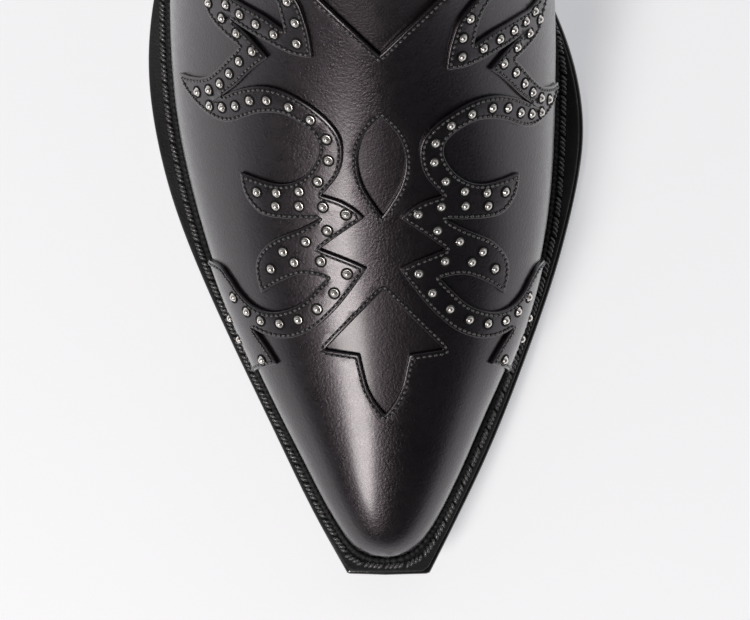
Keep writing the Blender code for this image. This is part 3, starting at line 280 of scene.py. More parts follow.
def half_sections(u, side, t):
    """Points of the half sections u, for t from 0 on the ridge to 1 on the base line."""
    u = np.asarray(u, float)[:, None]
    t = np.asarray(t, float)[None, :]
    y0, z0, share = base_line(u)
    middle = centre_x(u)
    wide = widest[side](u) - side * middle
    foot = feather[side](np.minimum(u, HEEL_ARC)) * share - side * middle * (share > 0)
    foot = np.where(u < 0.5, np.minimum(foot, wide), foot)
    turn = np.clip(t * 2, 0, 1) * math.pi / 2
    end = np.radians(np.interp(u, *zip(*TURN_END)))
    turn_below = np.clip(t * 2 - 1, 0, 1) * end
    level = widest_at[side](u)
    power, power_below = 2 / above[side](u), 2 / below[side](u)
    upper = t < 0.5
    fall = (np.sin(turn_below) / np.sin(end))**power_below
    draw_in = (1 - np.cos(turn_below)**power_below) / (1 - np.cos(end)**power_below)
    high = np.where(upper, level + (1 - level) * np.clip(np.cos(turn), 0, 1)**power, level * (1 - fall))
    width = np.where(upper, wide * np.sin(turn)**power, wide + (foot - wide) * draw_in)
    return np.stack([middle + side * width, y0 + (ridge_y(u) - y0) * high,
                     z0 + (ridge_z(u) - z0) * high], -1)


def eased(points, stations):
    """The loft's table with its crease round the heel relaxed; ridge and base line stay."""
    low, high = HEEL_EASE
    along = np.clip((stations - low) * (high - stations) / (0.1 * (high - low)**2), 0, 1)
    across = np.interp(np.linspace(0, 1, points.shape[1]), (0.4, 0.6, 0.94, 1.0), (0, 1, 1, 0))
    weight = (along[:, None] * across)[..., None] * 0.5
    for _ in range(50):
        mean = (np.roll(points, 1, 0) + np.roll(points, -1, 0) + np.roll(points, 1, 1)
                + np.roll(points, -1, 1)) / 4
        points = points + weight * (mean - points)
    return points


class Half:
    """One side of the loft as a table of points at even steps of girth, with its normals."""

    rows = TOP * 8 + 1
    columns = 97

    def __init__(self, side):
        self.side = side
        self.u = np.linspace(0, TOP, self.rows)
        dense = half_sections(self.u, side, np.linspace(0, 1, 300))
        run = np.linalg.norm(np.diff(dense, axis=1), axis=2).cumsum(1)
        run = np.concatenate([np.zeros((self.rows, 1)), run], 1)
        self.girth = run[:, -1]
        self.points = np.empty((self.rows, self.columns, 3))
        for i in range(self.rows):
            at = np.linspace(0, run[i, -1], self.columns)
            for k in range(3):
                self.points[i, :, k] = np.interp(at, run[i], dense[i, :, k])
        self.points = eased(self.points, self.u)
        normal = np.cross(np.gradient(self.points, axis=0), np.gradient(self.points, axis=1)) * -side
        normal[:, 0, 0] = 0
        normal[self.u >= BACK_START, -1, 0] = 0
        normal[0] = normal[1] * (0, 1, 1)
        normal = unit(normal)
        turn_under = round(TURN_UNDER * (self.columns - 1))
        below = self.u < BACK_START
        normal[below, turn_under:] = normal[below, turn_under][:, None] * (1, 1, 0) + (0, 0, -0.1)
        self.normals = unit(normal)

    def look_up(self, table, u, v):
        i = np.clip(np.asarray(u, float) / TOP * (self.rows - 1), 0, self.rows - 1.000001)
        j = np.clip(np.asarray(v, float) * (self.columns - 1), 0, self.columns - 1.000001)
        i0, j0 = i.astype(int), j.astype(int)
        a, b = (i - i0)[..., None], (j - j0)[..., None]
        near = table[i0, j0] * (1 - b) + table[i0, j0 + 1] * b
        far = table[i0 + 1, j0] * (1 - b) + table[i0 + 1, j0 + 1] * b
        return near * (1 - a) + far * a

    def at(self, u, v, depth=0.0):
        """Points at station u and share v of the half girth, moved out by depth."""
        return self.look_up(self.points, u, v) + unit(self.look_up(self.normals, u, v)) * depth

    def half_girth(self, u):
        return np.interp(u, self.u, self.girth)


HALVES = {side: Half(side) for side in (-1, 1)}
STATION = HALVES[1].u
RUN = np.concatenate([[0], np.hypot(np.diff(ridge_y(STATION)), np.diff(ridge_z(STATION))).cumsum()])


def station_of(run):
    return np.interp(run, RUN, STATION)


def run_of(station):
    return np.interp(station, STATION, RUN)


def edge_girth(run, side):
    """Girth at the feather line."""
    return HALVES[side].half_girth(station_of(run))


def smooth_stroke(knots, step):
    """Catmull-Rom curve through the knots, without its first point."""
    knots = [Vector(k) for k in knots]
    knots = [knots[0]] + knots + [knots[-1]]
    points = []
    for a, b, c, d in zip(knots, knots[1:], knots[2:], knots[3:]):
        count = max(1, round((c - b).length / step))
        for k in range(1, count + 1):
            t = k / count
            points.append(0.5 * (2 * b + (c - a) * t + (2 * a - 5 * b + 4 * c - d) * t**2
                                 + (3 * b - a - 3 * c + d) * t**3))
    return [(p.x, p.y) for p in points]


def trace(strokes, step):
    """Closed outline of strokes, each smooth in itself, with corners between them."""
    start = strokes[-1][-1]
    points = []
    for stroke in strokes:
        points += smooth_stroke([start, *stroke], step)
        start = stroke[-1]
    return points


# ------------------------------------------------------------------ meshes

def inside(points, outline):
    """Which points lie inside a closed outline."""
    x, y = points[:, 0, None], points[:, 1, None]
    a = np.asarray(outline, float)
    b = np.roll(a, -1, axis=0)
    crosses = (a[:, 1] > y) != (b[:, 1] > y)
    rise = np.where(a[:, 1] == b[:, 1], 1.0, b[:, 1] - a[:, 1])
    return (crosses & (x < (b[:, 0] - a[:, 0]) * (y - a[:, 1]) / rise + a[:, 0])).sum(1) % 2 == 1


def clearance(points, outline):
    """Distance of each point from a closed outline."""
    p = points[:, None]
    a = np.asarray(outline, float)
    along = np.roll(a, -1, axis=0) - a
    t = np.clip(((p - a) * along).sum(2) / np.maximum((along**2).sum(1), 1e-9), 0, 1)
    return np.linalg.norm(a + along * t[..., None] - p, axis=2).min(1)


def fill(outline, holes, step):
    """Triangles of a flat outline with holes, with inner points at an even step."""
    rings = [np.asarray(ring, float) for ring in (outline, *holes)]

    def solid(points):
        return inside(points, rings[0]) & ~np.any([inside(points, hole) for hole in rings[1:]], axis=0)

    low, high = rings[0].min(0), rings[0].max(0)
    grid = [(x, y) for row, x in enumerate(np.arange(low[0] + step / 2, high[0], step * 0.87))
            for y in np.arange(low[1] + step * (0.5 if row % 2 else 1), high[1], step)]
    grid = np.array(grid).reshape(-1, 2)
    grid = grid[solid(grid)]
    for ring in rings:
        grid = grid[clearance(grid, ring) > step * 0.55]
    ends = np.cumsum([0] + [len(ring) for ring in rings])
    borders = [list(range(a, b)) for a, b in zip(ends, ends[1:])]
    points = [Vector(p) for p in np.vstack([*rings, grid])]
    result = delaunay_2d_cdt(points, [], borders, 1, 1e-6)
    flat = np.array([tuple(p) for p in result[0]])
    faces = [tuple(face) for face in result[2]]
    kept = solid(np.array([flat[list(face)].mean(0) for face in faces]))
    return flat, [face for face, keep in zip(faces, kept) if keep]


def lay(flat, depth=0.0):
    """Points of the loft at (run, girth) pairs; a lateral girth is negative."""
    flat = np.asarray(flat, float)
    u = station_of(flat[:, 0])
    out = np.empty((len(flat), 3))
    for side, half in HALVES.items():
        pick = (flat[:, 1] > 0) == (side > 0)
        share = np.minimum(np.abs(flat[pick, 1]) / half.half_girth(u[pick]), 1.0)
        out[pick] = half.at(u[pick], share, depth)
    return out


def place(points):
    """Loft millimetres to metres in the part's frame."""
    return (np.asarray(points, float).reshape(-1, 3) + (FRAME_X, FRAME_Y, 0)) * MM


def add(name, points, faces, look, node=None, body="boot", weld=0.02 * MM):
    """New piece from points in loft millimetres, which may stand in for a CAD node."""
    mesh = bpy.data.meshes.new(name)
    mesh.from_pydata(place(points).tolist(), [], faces)
    if weld:
        shape = bmesh.new()
        shape.from_mesh(mesh)
        bmesh.ops.remove_doubles(shape, verts=shape.verts, dist=weld)
        bmesh.ops.recalc_face_normals(shape, faces=shape.faces)
        shape.to_mesh(mesh)
        shape.free()
    made = bpy.data.objects.new(name, mesh)
    mesh.materials.append(look.made)
    bpy.context.scene.collection.objects.link(made)
    mesh.shade_smooth()
    if body:
        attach(made, body)
    if node:
        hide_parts(node)
    return made


def soften(piece, radius):
    edge = piece.modifiers.new("edges", "BEVEL")
    edge.width = radius * MM
    edge.segments = 3
    edge.limit_method = "ANGLE"
    edge.angle_limit = math.radians(50)
    edge.use_clamp_overlap = False


def thicken(sheet, thickness, outward, rounding, cell=0):
    """Thicken a sheet away from the side outward points to, measured at one cell, and round its edges."""
    if sheet.data.polygons[cell].normal.dot(Vector(outward)) < 0:
        sheet.data.flip_normals()
    skin = sheet.modifiers.new("thickness", "SOLIDIFY")
    skin.thickness = thickness * MM
    skin.offset = -1
    soften(sheet, rounding)


def leather(name, outline, holes, layer, step, look, node, rounding=0.3):
    """A flat pattern piece laid on the loft."""
    flat, faces = fill(outline, holes, step)
    sheet = add(name, lay(flat, layer[0]), faces, look, node)
    spot = flat[list(faces[0])].mean(0)[None]
    thicken(sheet, layer[1], (lay(spot, 5.0) - lay(spot))[0], rounding)


def grid_faces(rows, columns, start=0, closed=False, wrapped=False):
    """Quads of a grid of points; closed joins its last row to its first, and wrapped its last column."""
    faces = []
    for i in range(rows if closed else rows - 1):
        a, b = start + i * columns, start + (i + 1) % rows * columns
        for j in range(columns if wrapped else columns - 1):
            k = (j + 1) % columns
            faces.append((a + j, a + k, b + k, b + j))
    return faces


def patch(name, corners, layer, size, look, node):
    """Both mirrored sides of a four-sided patch: corners(a, b, side) gives (station, share)."""
    a, b = np.meshgrid(np.linspace(0, 1, size[0]), np.linspace(0, 1, size[1]), indexing="ij")
    points, faces = [], []
    for side in (-1, 1):
        u, v = corners(a, b, side)
        faces += grid_faces(*size, start=len(points))
        points += list(HALVES[side].at(u, v, layer[0]).reshape(-1, 3))
    sheet = add(name, points, faces, look, node)
    row, column = size[0] // 2, size[1] // 2
    u, v = (values[row, column] for values in corners(a, b, -1))
    outward = HALVES[-1].at(u, v, 5.0) - HALVES[-1].at(u, v, 0.0)
    thicken(sheet, layer[1], outward, 0.25, row * (size[1] - 1) + column)


def tube(name, rings, look, node=None, closed=True):
    """Solid through rings of points; closed joins the last ring to the first."""
    count = len(rings[0])
    faces = grid_faces(len(rings), count, closed=closed, wrapped=True)
    if not closed:
        faces += [tuple(range(count)), tuple(range((len(rings) - 1) * count, len(rings) * count))]
    return add(name, np.vstack(rings), faces, look, node)


def turned(profile, around):
    """Points and faces of a profile of (radius, x) turned about X; a radius of 0 is one single point."""
    points, faces, before = [], [], None
    for radius, x in profile:
        spins = np.arange(around if radius else 1) * 2 * math.pi / around
        ring = range(len(points), len(points) + len(spins))
        points += [(x, radius * math.cos(spin), radius * math.sin(spin)) for spin in spins]
        for k in range(around if before else 0):
            j = (k + 1) % around
            quad = before[k % len(before)], before[j % len(before)], ring[j % len(ring)], ring[k % len(ring)]
            faces.append(tuple(dict.fromkeys(quad)))
        before = ring
    return np.array(points), faces


def scatter(name, form, centres, along, up, look):
    """One mesh with the form at every centre; the form's points are in mm (along, across, up)."""
    points, faces = form
    up = unit(up)
    along = unit(along - up * (along * up).sum(1, keepdims=True))
    frames = np.stack([along, np.cross(up, along), up], 1)
    placed = centres[:, None] + np.einsum("pk,nkc->npc", points, frames)
    copies = [tuple(i * len(points) + k for k in face) for i in range(len(centres)) for face in faces]
    return add(name, placed, copies, look, weld=0)


def lengths(points):
    """Distance along a path at each of its points."""
    return np.concatenate([[0], np.linalg.norm(np.diff(points, axis=0), axis=1).cumsum()])


def sample(table, run, at):
    """Rows of a table, which has one row for each distance in run, read at other distances."""
    return np.stack([np.interp(at, run, column) for column in np.transpose(table)], -1)


def spread(points, ups, pitch, closed=False):
    """Even places along a 3-D path: centres, directions and surface normals."""
    if closed:
        points, ups = np.vstack([points, points[:1]]), np.vstack([ups, ups[:1]])
    run = lengths(points)
    gap = run[-1] / max(1, round(run[-1] / pitch))
    at = (np.arange(round(run[-1] / gap)) + 0.5) * gap
    along = sample(points, run, at + 0.3 * gap) - sample(points, run, at - 0.3 * gap)
    return sample(points, run, at), along, sample(ups, run, at)


def bead(half_size, around, along):
    """One stitch: an ellipsoid of the half sizes (along, across, up)."""
    turns = np.linspace(0, math.pi, along + 1)[1:-1]
    points, faces = turned([(0, -1), *((math.sin(turn), -math.cos(turn)) for turn in turns), (0, 1)], around)
    return points * half_size, faces


def stitches(name, tracks, pitch, half_size, detail, closed=False):
    """Rows of stitches along 3-D paths, each given by its points and surface normals."""
    places = zip(*(spread(*track, pitch, closed) for track in tracks))
    centres, along, up = (np.concatenate(group) for group in places)
    scatter(name, bead(half_size, *detail), centres, along, up, THREAD)


def thread(name, rows, pitch, width=0.74, height=0.46, share=0.78, depth=0.0, closed=True, detail=(8, 5)):
    """Rows of stitches along flat (run, girth) paths laid on the loft, each over a dark strip of painted
    shade in its pressed line.
    """
    tracks = []
    for row in rows:
        at = lay(row, depth)
        tracks.append((at, lay(row, depth + 1.0) - at))
    # a dark strip of painted shade along each row
    painted_shade(name + "_groove", tracks, width * 0.85, closed)
    stitches(name, tracks, pitch, (pitch * share / 2, width / 2, height), detail, closed)


def painted_shade(name, tracks, width, closed, lift=0.035):
    """Painted shade of pressed lines: narrow dark strips just proud of the surface they follow."""
    points, faces = [], []
    for at, up in tracks:
        way = np.roll(at, -1, axis=0) - np.roll(at, 1, axis=0) if closed else np.gradient(at, axis=0)
        half = unit(np.cross(up, way)) * width / 2
        raised = at + unit(up) * lift
        faces += grid_faces(len(at), 2, len(points), closed)
        points += list(np.stack([raised - half, raised + half], 1).reshape(-1, 3))
    add(name, points, faces, SHADE_PAINT, weld=0)


def right_of(along):
    """Unit vectors to the right of flat directions."""
    return unit(np.stack([along[:, 1], -along[:, 0]], -1))


def grown(outline, margin):
    """Closed outline moved out by a margin, without the loops that form in tight corners."""
    points = np.asarray(outline, float)
    after = np.roll(points, -1, axis=0)
    area = (points[:, 0] * after[:, 1] - after[:, 0] * points[:, 1]).sum()
    moved = points + right_of(after - np.roll(points, 1, axis=0)) * margin * np.sign(area)
    return moved[clearance(moved, points) > abs(margin) * 0.93]


# ------------------------------------------------------------------ materials

class Look:
    """A node material around one Principled shader, and the name of the slot for the pieces that wear it."""

    def __init__(self, name, slot, **sockets):
        self.slot = slot
        self.made = bpy.data.materials.new(name)
        self.made.use_nodes = True
        self.tree = self.made.node_tree
        self.shader = self.tree.nodes["Principled BSDF"]
        for socket, value in sockets.items():
            self.shader.inputs[socket.replace("_", " ")].default_value = value
        self.object = self.node("ShaderNodeTexCoord").outputs["Object"]
        self.normal = None

    def node(self, kind, inputs=None, **settings):
        made = self.tree.nodes.new(kind)
        for key, value in settings.items():
            setattr(made, key, value)
        for key, value in (inputs or {}).items():
            self.feed(made.inputs[key], value)
        return made

    def feed(self, socket, value):
        if isinstance(value, bpy.types.NodeSocket):
            self.tree.links.new(value, socket)
        else:
            socket.default_value = value

    def noise(self, scale, detail, stretch=None):
        at = self.object
        if stretch:
            at = self.node("ShaderNodeMapping", {"Vector": at, "Scale": stretch}).outputs["Vector"]
        return self.node("ShaderNodeTexNoise", {"Vector": at, "Scale": scale, "Detail": detail,
                                                "Roughness": 0.55}).outputs["Fac"]

    def ramp(self, value, margin, start, end):
        """From start to end as a value goes from margin to 1 - margin."""
        return self.node("ShaderNodeMapRange", {"Value": value, "From Min": margin, "From Max": 1 - margin,
                                                "To Min": start, "To Max": end}).outputs["Result"]

    def colour(self, value, margin, dark, light):
        mix = self.node("ShaderNodeMix", data_type="RGBA")
        for socket, item in ((0, self.ramp(value, margin, 0.0, 1.0)), (6, (*dark, 1.0)), (7, (*light, 1.0))):
            self.feed(mix.inputs[socket], item)
        self.feed(self.shader.inputs["Base Color"], mix.outputs[2])

    def rough(self, scale, detail, span, margin=0.3):
        self.feed(self.shader.inputs["Roughness"], self.ramp(self.noise(scale, detail), margin, *span))

    def bump(self, value, depth, strength=1.0):
        """Add a bump of the given depth in metres to those already there."""
        made = self.node("ShaderNodeBump", {"Height": value, "Distance": depth, "Strength": strength})
        if self.normal:
            self.feed(made.inputs["Normal"], self.normal)
        self.normal = made.outputs["Normal"]
        self.feed(self.shader.inputs["Normal"], self.normal)


def calf(name, tone, rough, grain):
    """Waxed black calf: grain of about 0.7 mm, finer pores and a slight unevenness."""
    look = Look(name, "black_calf", Specular_IOR_Level=0.5, Specular_Tint=(1.0, 0.86, 0.96, 1.0),
                Coat_Weight=0.75, Coat_Roughness=0.2)
    dark, light = np.array((0.0042, 0.0034, 0.0045)), np.array((0.0075, 0.0062, 0.0076))
    look.colour(look.noise(70.0, 4.0), 0.35, dark * tone, light * tone)
    look.rough(420.0, 5.0, rough)
    for scale, detail, depth, strength in ((1500.0, 3.0, 0.00011, 1.0), (4000.0, 2.0, 0.00003, 0.9),
                                           (110.0, 2.0, 0.00012, 0.35)):
        look.bump(look.noise(scale, detail), depth * grain, strength)
    return look


def hide(name, slot, dark, light, rough=(0.6, 0.8), scale=300.0, depth=0.00008):
    """Matte leather, board, cork or rubber with fibre and small pores."""
    look = Look(name, slot, Specular_IOR_Level=0.35)
    look.colour(look.noise(scale * 0.2, 5.0), 0.3, dark, light)
    look.rough(scale, 4.0, rough)
    look.bump(look.noise(scale * 6, 4.0), depth)
    pores = look.node("ShaderNodeTexVoronoi", {"Vector": look.object, "Scale": scale * 4})
    look.bump(pores.outputs["Distance"], depth, 0.5)
    return look


def layered(name, slot, dark, light, rough):
    """Waxed sole or heel leather: thin horizontal layers."""
    look = Look(name, slot, Specular_IOR_Level=0.5, Coat_Weight=0.9, Coat_Roughness=0.14)
    bands = look.noise(260.0, 4.0, (0.25, 0.25, 5.0))
    look.colour(bands, 0.35, dark, light)
    look.rough(500.0, 3.0, rough)
    look.bump(bands, 0.00025)
    look.bump(look.noise(2400.0, 3.0), 0.00004)
    return look


def metal(name, tone, rough):
    look = Look(name, "steel", Metallic=1.0)
    dark, light = np.array((0.88, 0.84, 0.79)), np.array((1.0, 0.96, 0.91))
    look.colour(look.noise(700.0, 4.0), 0.35, dark * tone, light * tone)
    look.rough(1800.0, 3.0, rough)
    look.bump(look.noise(900.0, 2.0), 0.000004)
    return look


def yarn(name, slot, dark, light):
    """Waxed thread: fine twisted plies across each stitch, set in the bump; the light bands of colour on them
    are a painted sheen.
    """
    look = Look(name, slot, Specular_IOR_Level=0.6, Coat_Weight=1.0, Coat_Roughness=0.15)
    twist_and_sheen = look.node("ShaderNodeTexWave", {"Vector": look.object, "Scale": 900.0, "Distortion": 2.0},
                      bands_direction="DIAGONAL").outputs["Fac"]
    # the light side of these bands is painted sheen; the bump below is the real relief of the plies
    look.colour(twist_and_sheen, 0.0, dark, light)
    look.rough(1500.0, 2.0, (0.26, 0.4))
    look.bump(twist_and_sheen, 0.00008)
    return look


CALF = calf("calf", 1.0, (0.25, 0.35), 1.0)
OVERLAY_CALF = calf("overlay_calf", 1.05, (0.25, 0.35), 0.9)
INLAY_CALF = calf("inlay_calf", 0.9, (0.34, 0.46), 1.1)
SHAFT_CALF = calf("shaft_calf", 0.95, (0.33, 0.46), 1.1)
WELT_HIDE = hide("welt_hide", "welt_leather", (0.012, 0.012, 0.013), (0.026, 0.025, 0.026), (0.5, 0.68),
                 420.0, 0.00012)
SOLE_HIDE = layered("sole_hide", "sole_leather", (0.008, 0.008, 0.009), (0.016, 0.015, 0.015), (0.16, 0.26))
STACK_HIDE = layered("stack_hide", "stack_leather", (0.011, 0.010, 0.010), (0.026, 0.023, 0.022),
                     (0.26, 0.38))
LINING_HIDE = hide("lining_hide", "lining", (0.36, 0.25, 0.155), (0.47, 0.345, 0.225))
INSOLE_HIDE = hide("insole_hide", "insole_leather", (0.33, 0.22, 0.13), (0.45, 0.31, 0.2))
FIBRE = hide("fibre", "fibreboard", (0.25, 0.18, 0.11), (0.36, 0.27, 0.18), (0.8, 0.92), 900.0, 0.0002)
CORK = hide("cork_look", "cork", (0.28, 0.17, 0.09), (0.45, 0.3, 0.17), (0.85, 0.95), 700.0, 0.0004)
HEEL_RUBBER = hide("heel_rubber", "rubber", (0.013, 0.013, 0.013), (0.024, 0.024, 0.024), (0.6, 0.78),
                   900.0, 0.0001)
# Flat near-black that paints shade: along the stitch rows and in a ring round each stud.
SHADE_PAINT = hide("painted_shade", "black_calf", (0.0015, 0.0015, 0.0018), (0.003, 0.003, 0.003), (0.7, 0.85),
              900.0, 0.00003)
STUD_STEEL = metal("stud_steel", 0.98, (0.26, 0.34))
NAIL_STEEL = metal("nail_steel", 0.42, (0.3, 0.45))
# Black threads; the lighter colour of each is painted sheen on the plies.
THREAD = yarn("thread", "black_calf", (0.008, 0.0075, 0.008), (0.10, 0.094, 0.095))
WELT_THREAD = yarn("welt_thread", "welt_leather", (0.03, 0.03, 0.031), (0.15, 0.144, 0.144))


# ------------------------------------------------------------------ upper

def vamp_top(girth):
    """Run of the vamp's top edge at a girth from the ridge."""
    return np.interp(np.abs(girth), [g for _, g in VAMP_TOP], [s for s, _ in VAMP_TOP])


def vamp_side(side, step, drop, start):
    seam_station, seam_share_low = SEAM[0]
    half = HALVES[side]
    end = float(run_of(COUNTER_FRONT)) - drop
    runs = np.linspace(start, end, round((end - start) / step))
    outline = [(run, float(edge_girth(run, side))) for run in runs]
    for t in np.linspace(0, 1, round(35 / step))[1:]:
        u = COUNTER_FRONT + (seam_station - COUNTER_FRONT) * t
        share = 1 + (seam_share_low - 1) * t
        outline.append((float(run_of(u)) - drop, share * float(half.half_girth(u))))
    girth = outline[-1][1]
    count = round(girth / step)
    for k in range(1, count):
        across = girth * (1 - k / count)
        outline.append((float(vamp_top(across)) - drop, across))
    return [(run, side * g) for run, g in outline]


def vamp_outline(step, drop=0.1, start=0.0):
    medial = vamp_side(1, step, drop, start)
    lateral = vamp_side(-1, step, drop, start)
    shares = np.linspace(1, 0, 5)[1:]
    toe = [(start, lateral[0][1] * share) for share in shares]
    toe += [(start, medial[0][1] * share) for share in shares[-2::-1]]
    return medial + [(float(vamp_top(0)) - drop, 0.0)] + lateral[::-1] + toe


def spade():
    corner, waist, low = SPADE_HALF
    back = [(run, -girth) for run, girth in (*reversed(low[:-1]), waist[0])]
    return [corner, waist, low, back, [(corner[0][0], -corner[0][1])], [SPADE_TOP]]


def skew(run, side):
    start, rate = WING_SKEW
    return run - side * rate * max(0.0, run - start)


def wing(side, step):
    strokes = []
    for stroke in WING:
        points = []
        for run, girth in stroke:
            if girth is WELT_EDGE:
                girth = float(edge_girth(run, side)) - WING_CLEAR_OF_WELT
            points.append((skew(run, side), side * girth))
        strokes.append(points)
    return trace(strokes, step)


# Studs of one wing, (run, girth) before the wing's skew
STUDS = ((149.2, 47.6), (146.8, 50.0), (147.1, 43.2), (143.8, 44.6), (145.3, 38.2), (143.4, 32.9),
         (140.6, 39.2), (136.6, 34.0), (141.3, 27.4), (150.0, 23.6), (144.7, 21.3), (139.4, 20.9),
         (133.9, 38.2), (130.7, 41.5), (128.1, 44.8), (126.4, 49.0), (125.7, 53.9), (122.6, 48.7),
         (122.4, 44.0), (122.9, 39.4), (124.4, 34.8), (124.6, 29.6), (123.1, 23.3), (120.0, 17.5),
         (115.1, 13.4), (109.7, 13.0), (104.3, 15.8), (101.6, 20.8), (101.2, 27.1), (101.4, 32.9),
         (97.7, 27.4), (97.7, 20.9), (97.5, 14.6), (95.5, 8.8), (91.2, 13.6), (88.3, 19.3), (85.6, 25.6),
         (82.8, 22.5), (81.1, 29.2), (83.1, 15.4), (79.8, 8.8), (74.7, 12.1), (70.5, 16.6), (67.7, 21.8),
         (66.7, 27.2), (67.5, 33.2), (69.9, 38.1), (73.7, 43.1), (57.1, 34.3), (56.3, 53.2),
         (68.2, 50.0), (62.6, 47.0))
# One stud's (radius, height) from its top to its rim, and the flat dark ring of painted shade round it
STUD_FORM = ((0.0, 0.92), (0.2, 0.9), (0.42, 0.82), (0.62, 0.68), (0.78, 0.5), (0.88, 0.3), (0.93, 0.14),
             (0.98, 0.1), (1.12, 0.13), (1.19, 0.07), (1.2, -0.2))
STUD_SHADE_RING = ((1.62, 0.15), (1.1, 0.15))


def make_upper():
    lens, cut = trace(LENS, 1.0), trace(spade(), 1.0)
    leather("vamp_leather", vamp_outline(2.2), [lens, cut], VAMP_LAYER, 2.4, CALF, "vamp", 0.35)
    middle = (LENS[0][-1][0] + LENS[1][-1][0]) / 2
    longer, wider = LENS_INLAY_GROWTH
    under = [(middle + (run - middle) * longer, girth * wider) for run, girth in trace(LENS, 2.0)]
    leather("lens_inlay_leather", under, [], INLAY_LAYER, 2.0, INLAY_CALF, "lens_inlay")
    leather("spade_inlay_leather", grown(cut, INLAY_MARGIN), [], INLAY_LAYER, 2.2, INLAY_CALF, "spade_inlay")
    studs = []
    for side, name in ((-1, "lateral"), (1, "medial")):
        outline = wing(side, 1.0)
        leather(f"wing_{name}", outline, [], OVERLAY_LAYER, 2.4, OVERLAY_CALF, f"wing_overlay_{name}")
        thread(f"wing_stitching_{name}", [grown(outline, -0.85)], VAMP_PITCH, depth=OVERLAY_LAYER[0])
        studs += [(skew(run, side), side * girth) for run, girth in STUDS]
    thread("cut_out_stitching", [grown(lens, 0.95), grown(cut, 1.0)], VAMP_PITCH)
    at = lay(studs, OVERLAY_LAYER[0])
    up = lay(studs, OVERLAY_LAYER[0] + 1.0) - at
    along = np.tile((0.0, 1.0, 0.3), (len(at), 1))
    # each stud sits on a flat dark ring of painted shade
    for name, profile, look in (("stud_shade_rings", STUD_SHADE_RING, SHADE_PAINT),
                                ("studs", STUD_FORM[::-1], STUD_STEEL)):
        points, faces = turned(profile, 18)
        scatter(name, (np.roll(points, -1, axis=1), faces), at, along, up, look)
    patch("counter_leather", counter_corners, COUNTER_LAYER, (60, 30), CALF, "counter_cover")
    patch("heel_lining_leather", lambda a, b, side: counter_corners(a, 0.29 + 0.71 * b, side), LINING_LAYER,
          (40, 20), LINING_HIDE, "heel_lining")
    patch("shaft_front_leather", front_corners, SHAFT_LAYER, (90, 34), SHAFT_CALF, "shaft_front")
    patch("shaft_back_leather", back_corners, SHAFT_LAYER, (90, 40), SHAFT_CALF, "shaft_back")
    patch("front_lining_leather", lambda a, b, side: front_corners(0.075 + 0.925 * a, b, side),
          SHAFT_LINING_LAYER, (60, 24), LINING_HIDE, "shaft_lining_front")
    patch("back_lining_leather", back_corners, SHAFT_LINING_LAYER, (60, 30), LINING_HIDE, "shaft_lining_back")
    leather("vamp_lining_leather", vamp_outline(4.0, 2.0, 2.0), [], LINING_LAYER, 4.5, LINING_HIDE,
            "vamp_lining")


seam_share = pairs(SEAM)


def counter_top(t):
    stations, shares = zip(*COUNTER_TOP)
    at = np.linspace(0, 1, len(COUNTER_TOP))
    return spline(at, stations)(t), spline(at, shares)(t)


def counter_corners(a, b, side):
    u_top, v_top = counter_top(a)
    u_low = COUNTER_FRONT + (BACK_START - COUNTER_FRONT) * a
    return u_top + (u_low - u_top) * b, v_top + (1 - v_top) * b


def collar_height(share):
    dip = FRONT_DIP * (1 - share) + BACK_DIP * share
    return COLLAR_HEIGHT - dip * np.abs(np.cos(math.pi * share))**1.6


def station_at(height, share, side):
    """Station at which the loft reaches a height, at each share."""
    share = np.asarray(share, float)
    height = np.broadcast_to(height, share.shape)
    levels = HALVES[side].look_up(HALVES[side].points, STATION[:, None] + 0 * share.ravel(),
                                  share.ravel() + 0 * STATION[:, None])[..., 2]
    found = [np.interp(h, levels[:, k], STATION) for k, h in enumerate(height.ravel())]
    return np.reshape(found, share.shape)


def front_low(b, side):
    b = np.asarray(b, float)
    u = np.full(b.shape, 13.0)
    for _ in range(8):
        share = b * np.where(u < SEAM[0][0], SEAM[0][1], seam_share(u))
        girth = share * HALVES[side].half_girth(u)
        u = station_of(vamp_top(girth) - SHAFT_TUCK)
    return u, share


def front_corners(a, b, side):
    u_low, v_low = front_low(b[0], side)
    return shaft_corners(a, b, side, u_low, v_low, b[0] * 0.5, False)


def back_corners(a, b, side):
    u_low, v_low = counter_corners(b[0], 0 * b[0] + COUNTER_TUCK, side)
    return shaft_corners(a, b, side, u_low, v_low, 0.5 + 0.5 * b[0], True)


def shaft_corners(a, b, side, u_low, v_low, top_share, back):
    """A shaft panel from its low edge to the collar, whose side edge follows the seam."""
    high = station_at(collar_height(top_share) - COLLAR_TURN, top_share, side)
    t = a**1.2
    u = u_low + (high - u_low) * t
    share = v_low + (top_share - v_low) * t
    column, gap = (0, 0.001) if back else (-1, -0.001)
    line = v_low[column] + (0.5 - v_low[column]) * t
    edge = u[:, [column]]
    seam = np.where(edge < SEAM[0][0], v_low[0] if back else SEAM[0][1], seam_share(edge)) + gap
    return u, share + (1 - b if back else b) * (seam - line)


def flat_of(u, share, side):
    """(station, share) to (run, girth)."""
    return np.stack([run_of(u), side * share * HALVES[side].half_girth(u)], -1)



def make_edge_stitching():
    """Open rows: one under the throat and top line, two along the counter's top and front edges."""
    across = np.linspace(-84, 84, 260)
    rows = [np.stack([vamp_top(across) - 1.35, across], -1)]
    t = np.linspace(0.01, 1, 90)
    low = np.linspace(0.05, 0.93, 30)
    for side in (-1, 1):
        for offset in (0.06, 0.115):
            rows.append(flat_of(*counter_corners(t, 0 * t + offset, side), side))
            rows.append(flat_of(*counter_corners(0 * low + offset * 0.28, low, side), side))
    thread("edge_stitching", rows, VAMP_PITCH, closed=False)


# Flame-shaped decoration of the shaft, one half: (distance from the panel's middle, height)
MOTIF = ((0, 128), (9, 141), (17, 156), (20, 172), (14, 186), (6, 196), (10, 206), (21, 215), (28, 228),
         (29, 243), (22, 255), (12, 262), (6, 252), (0, 238))


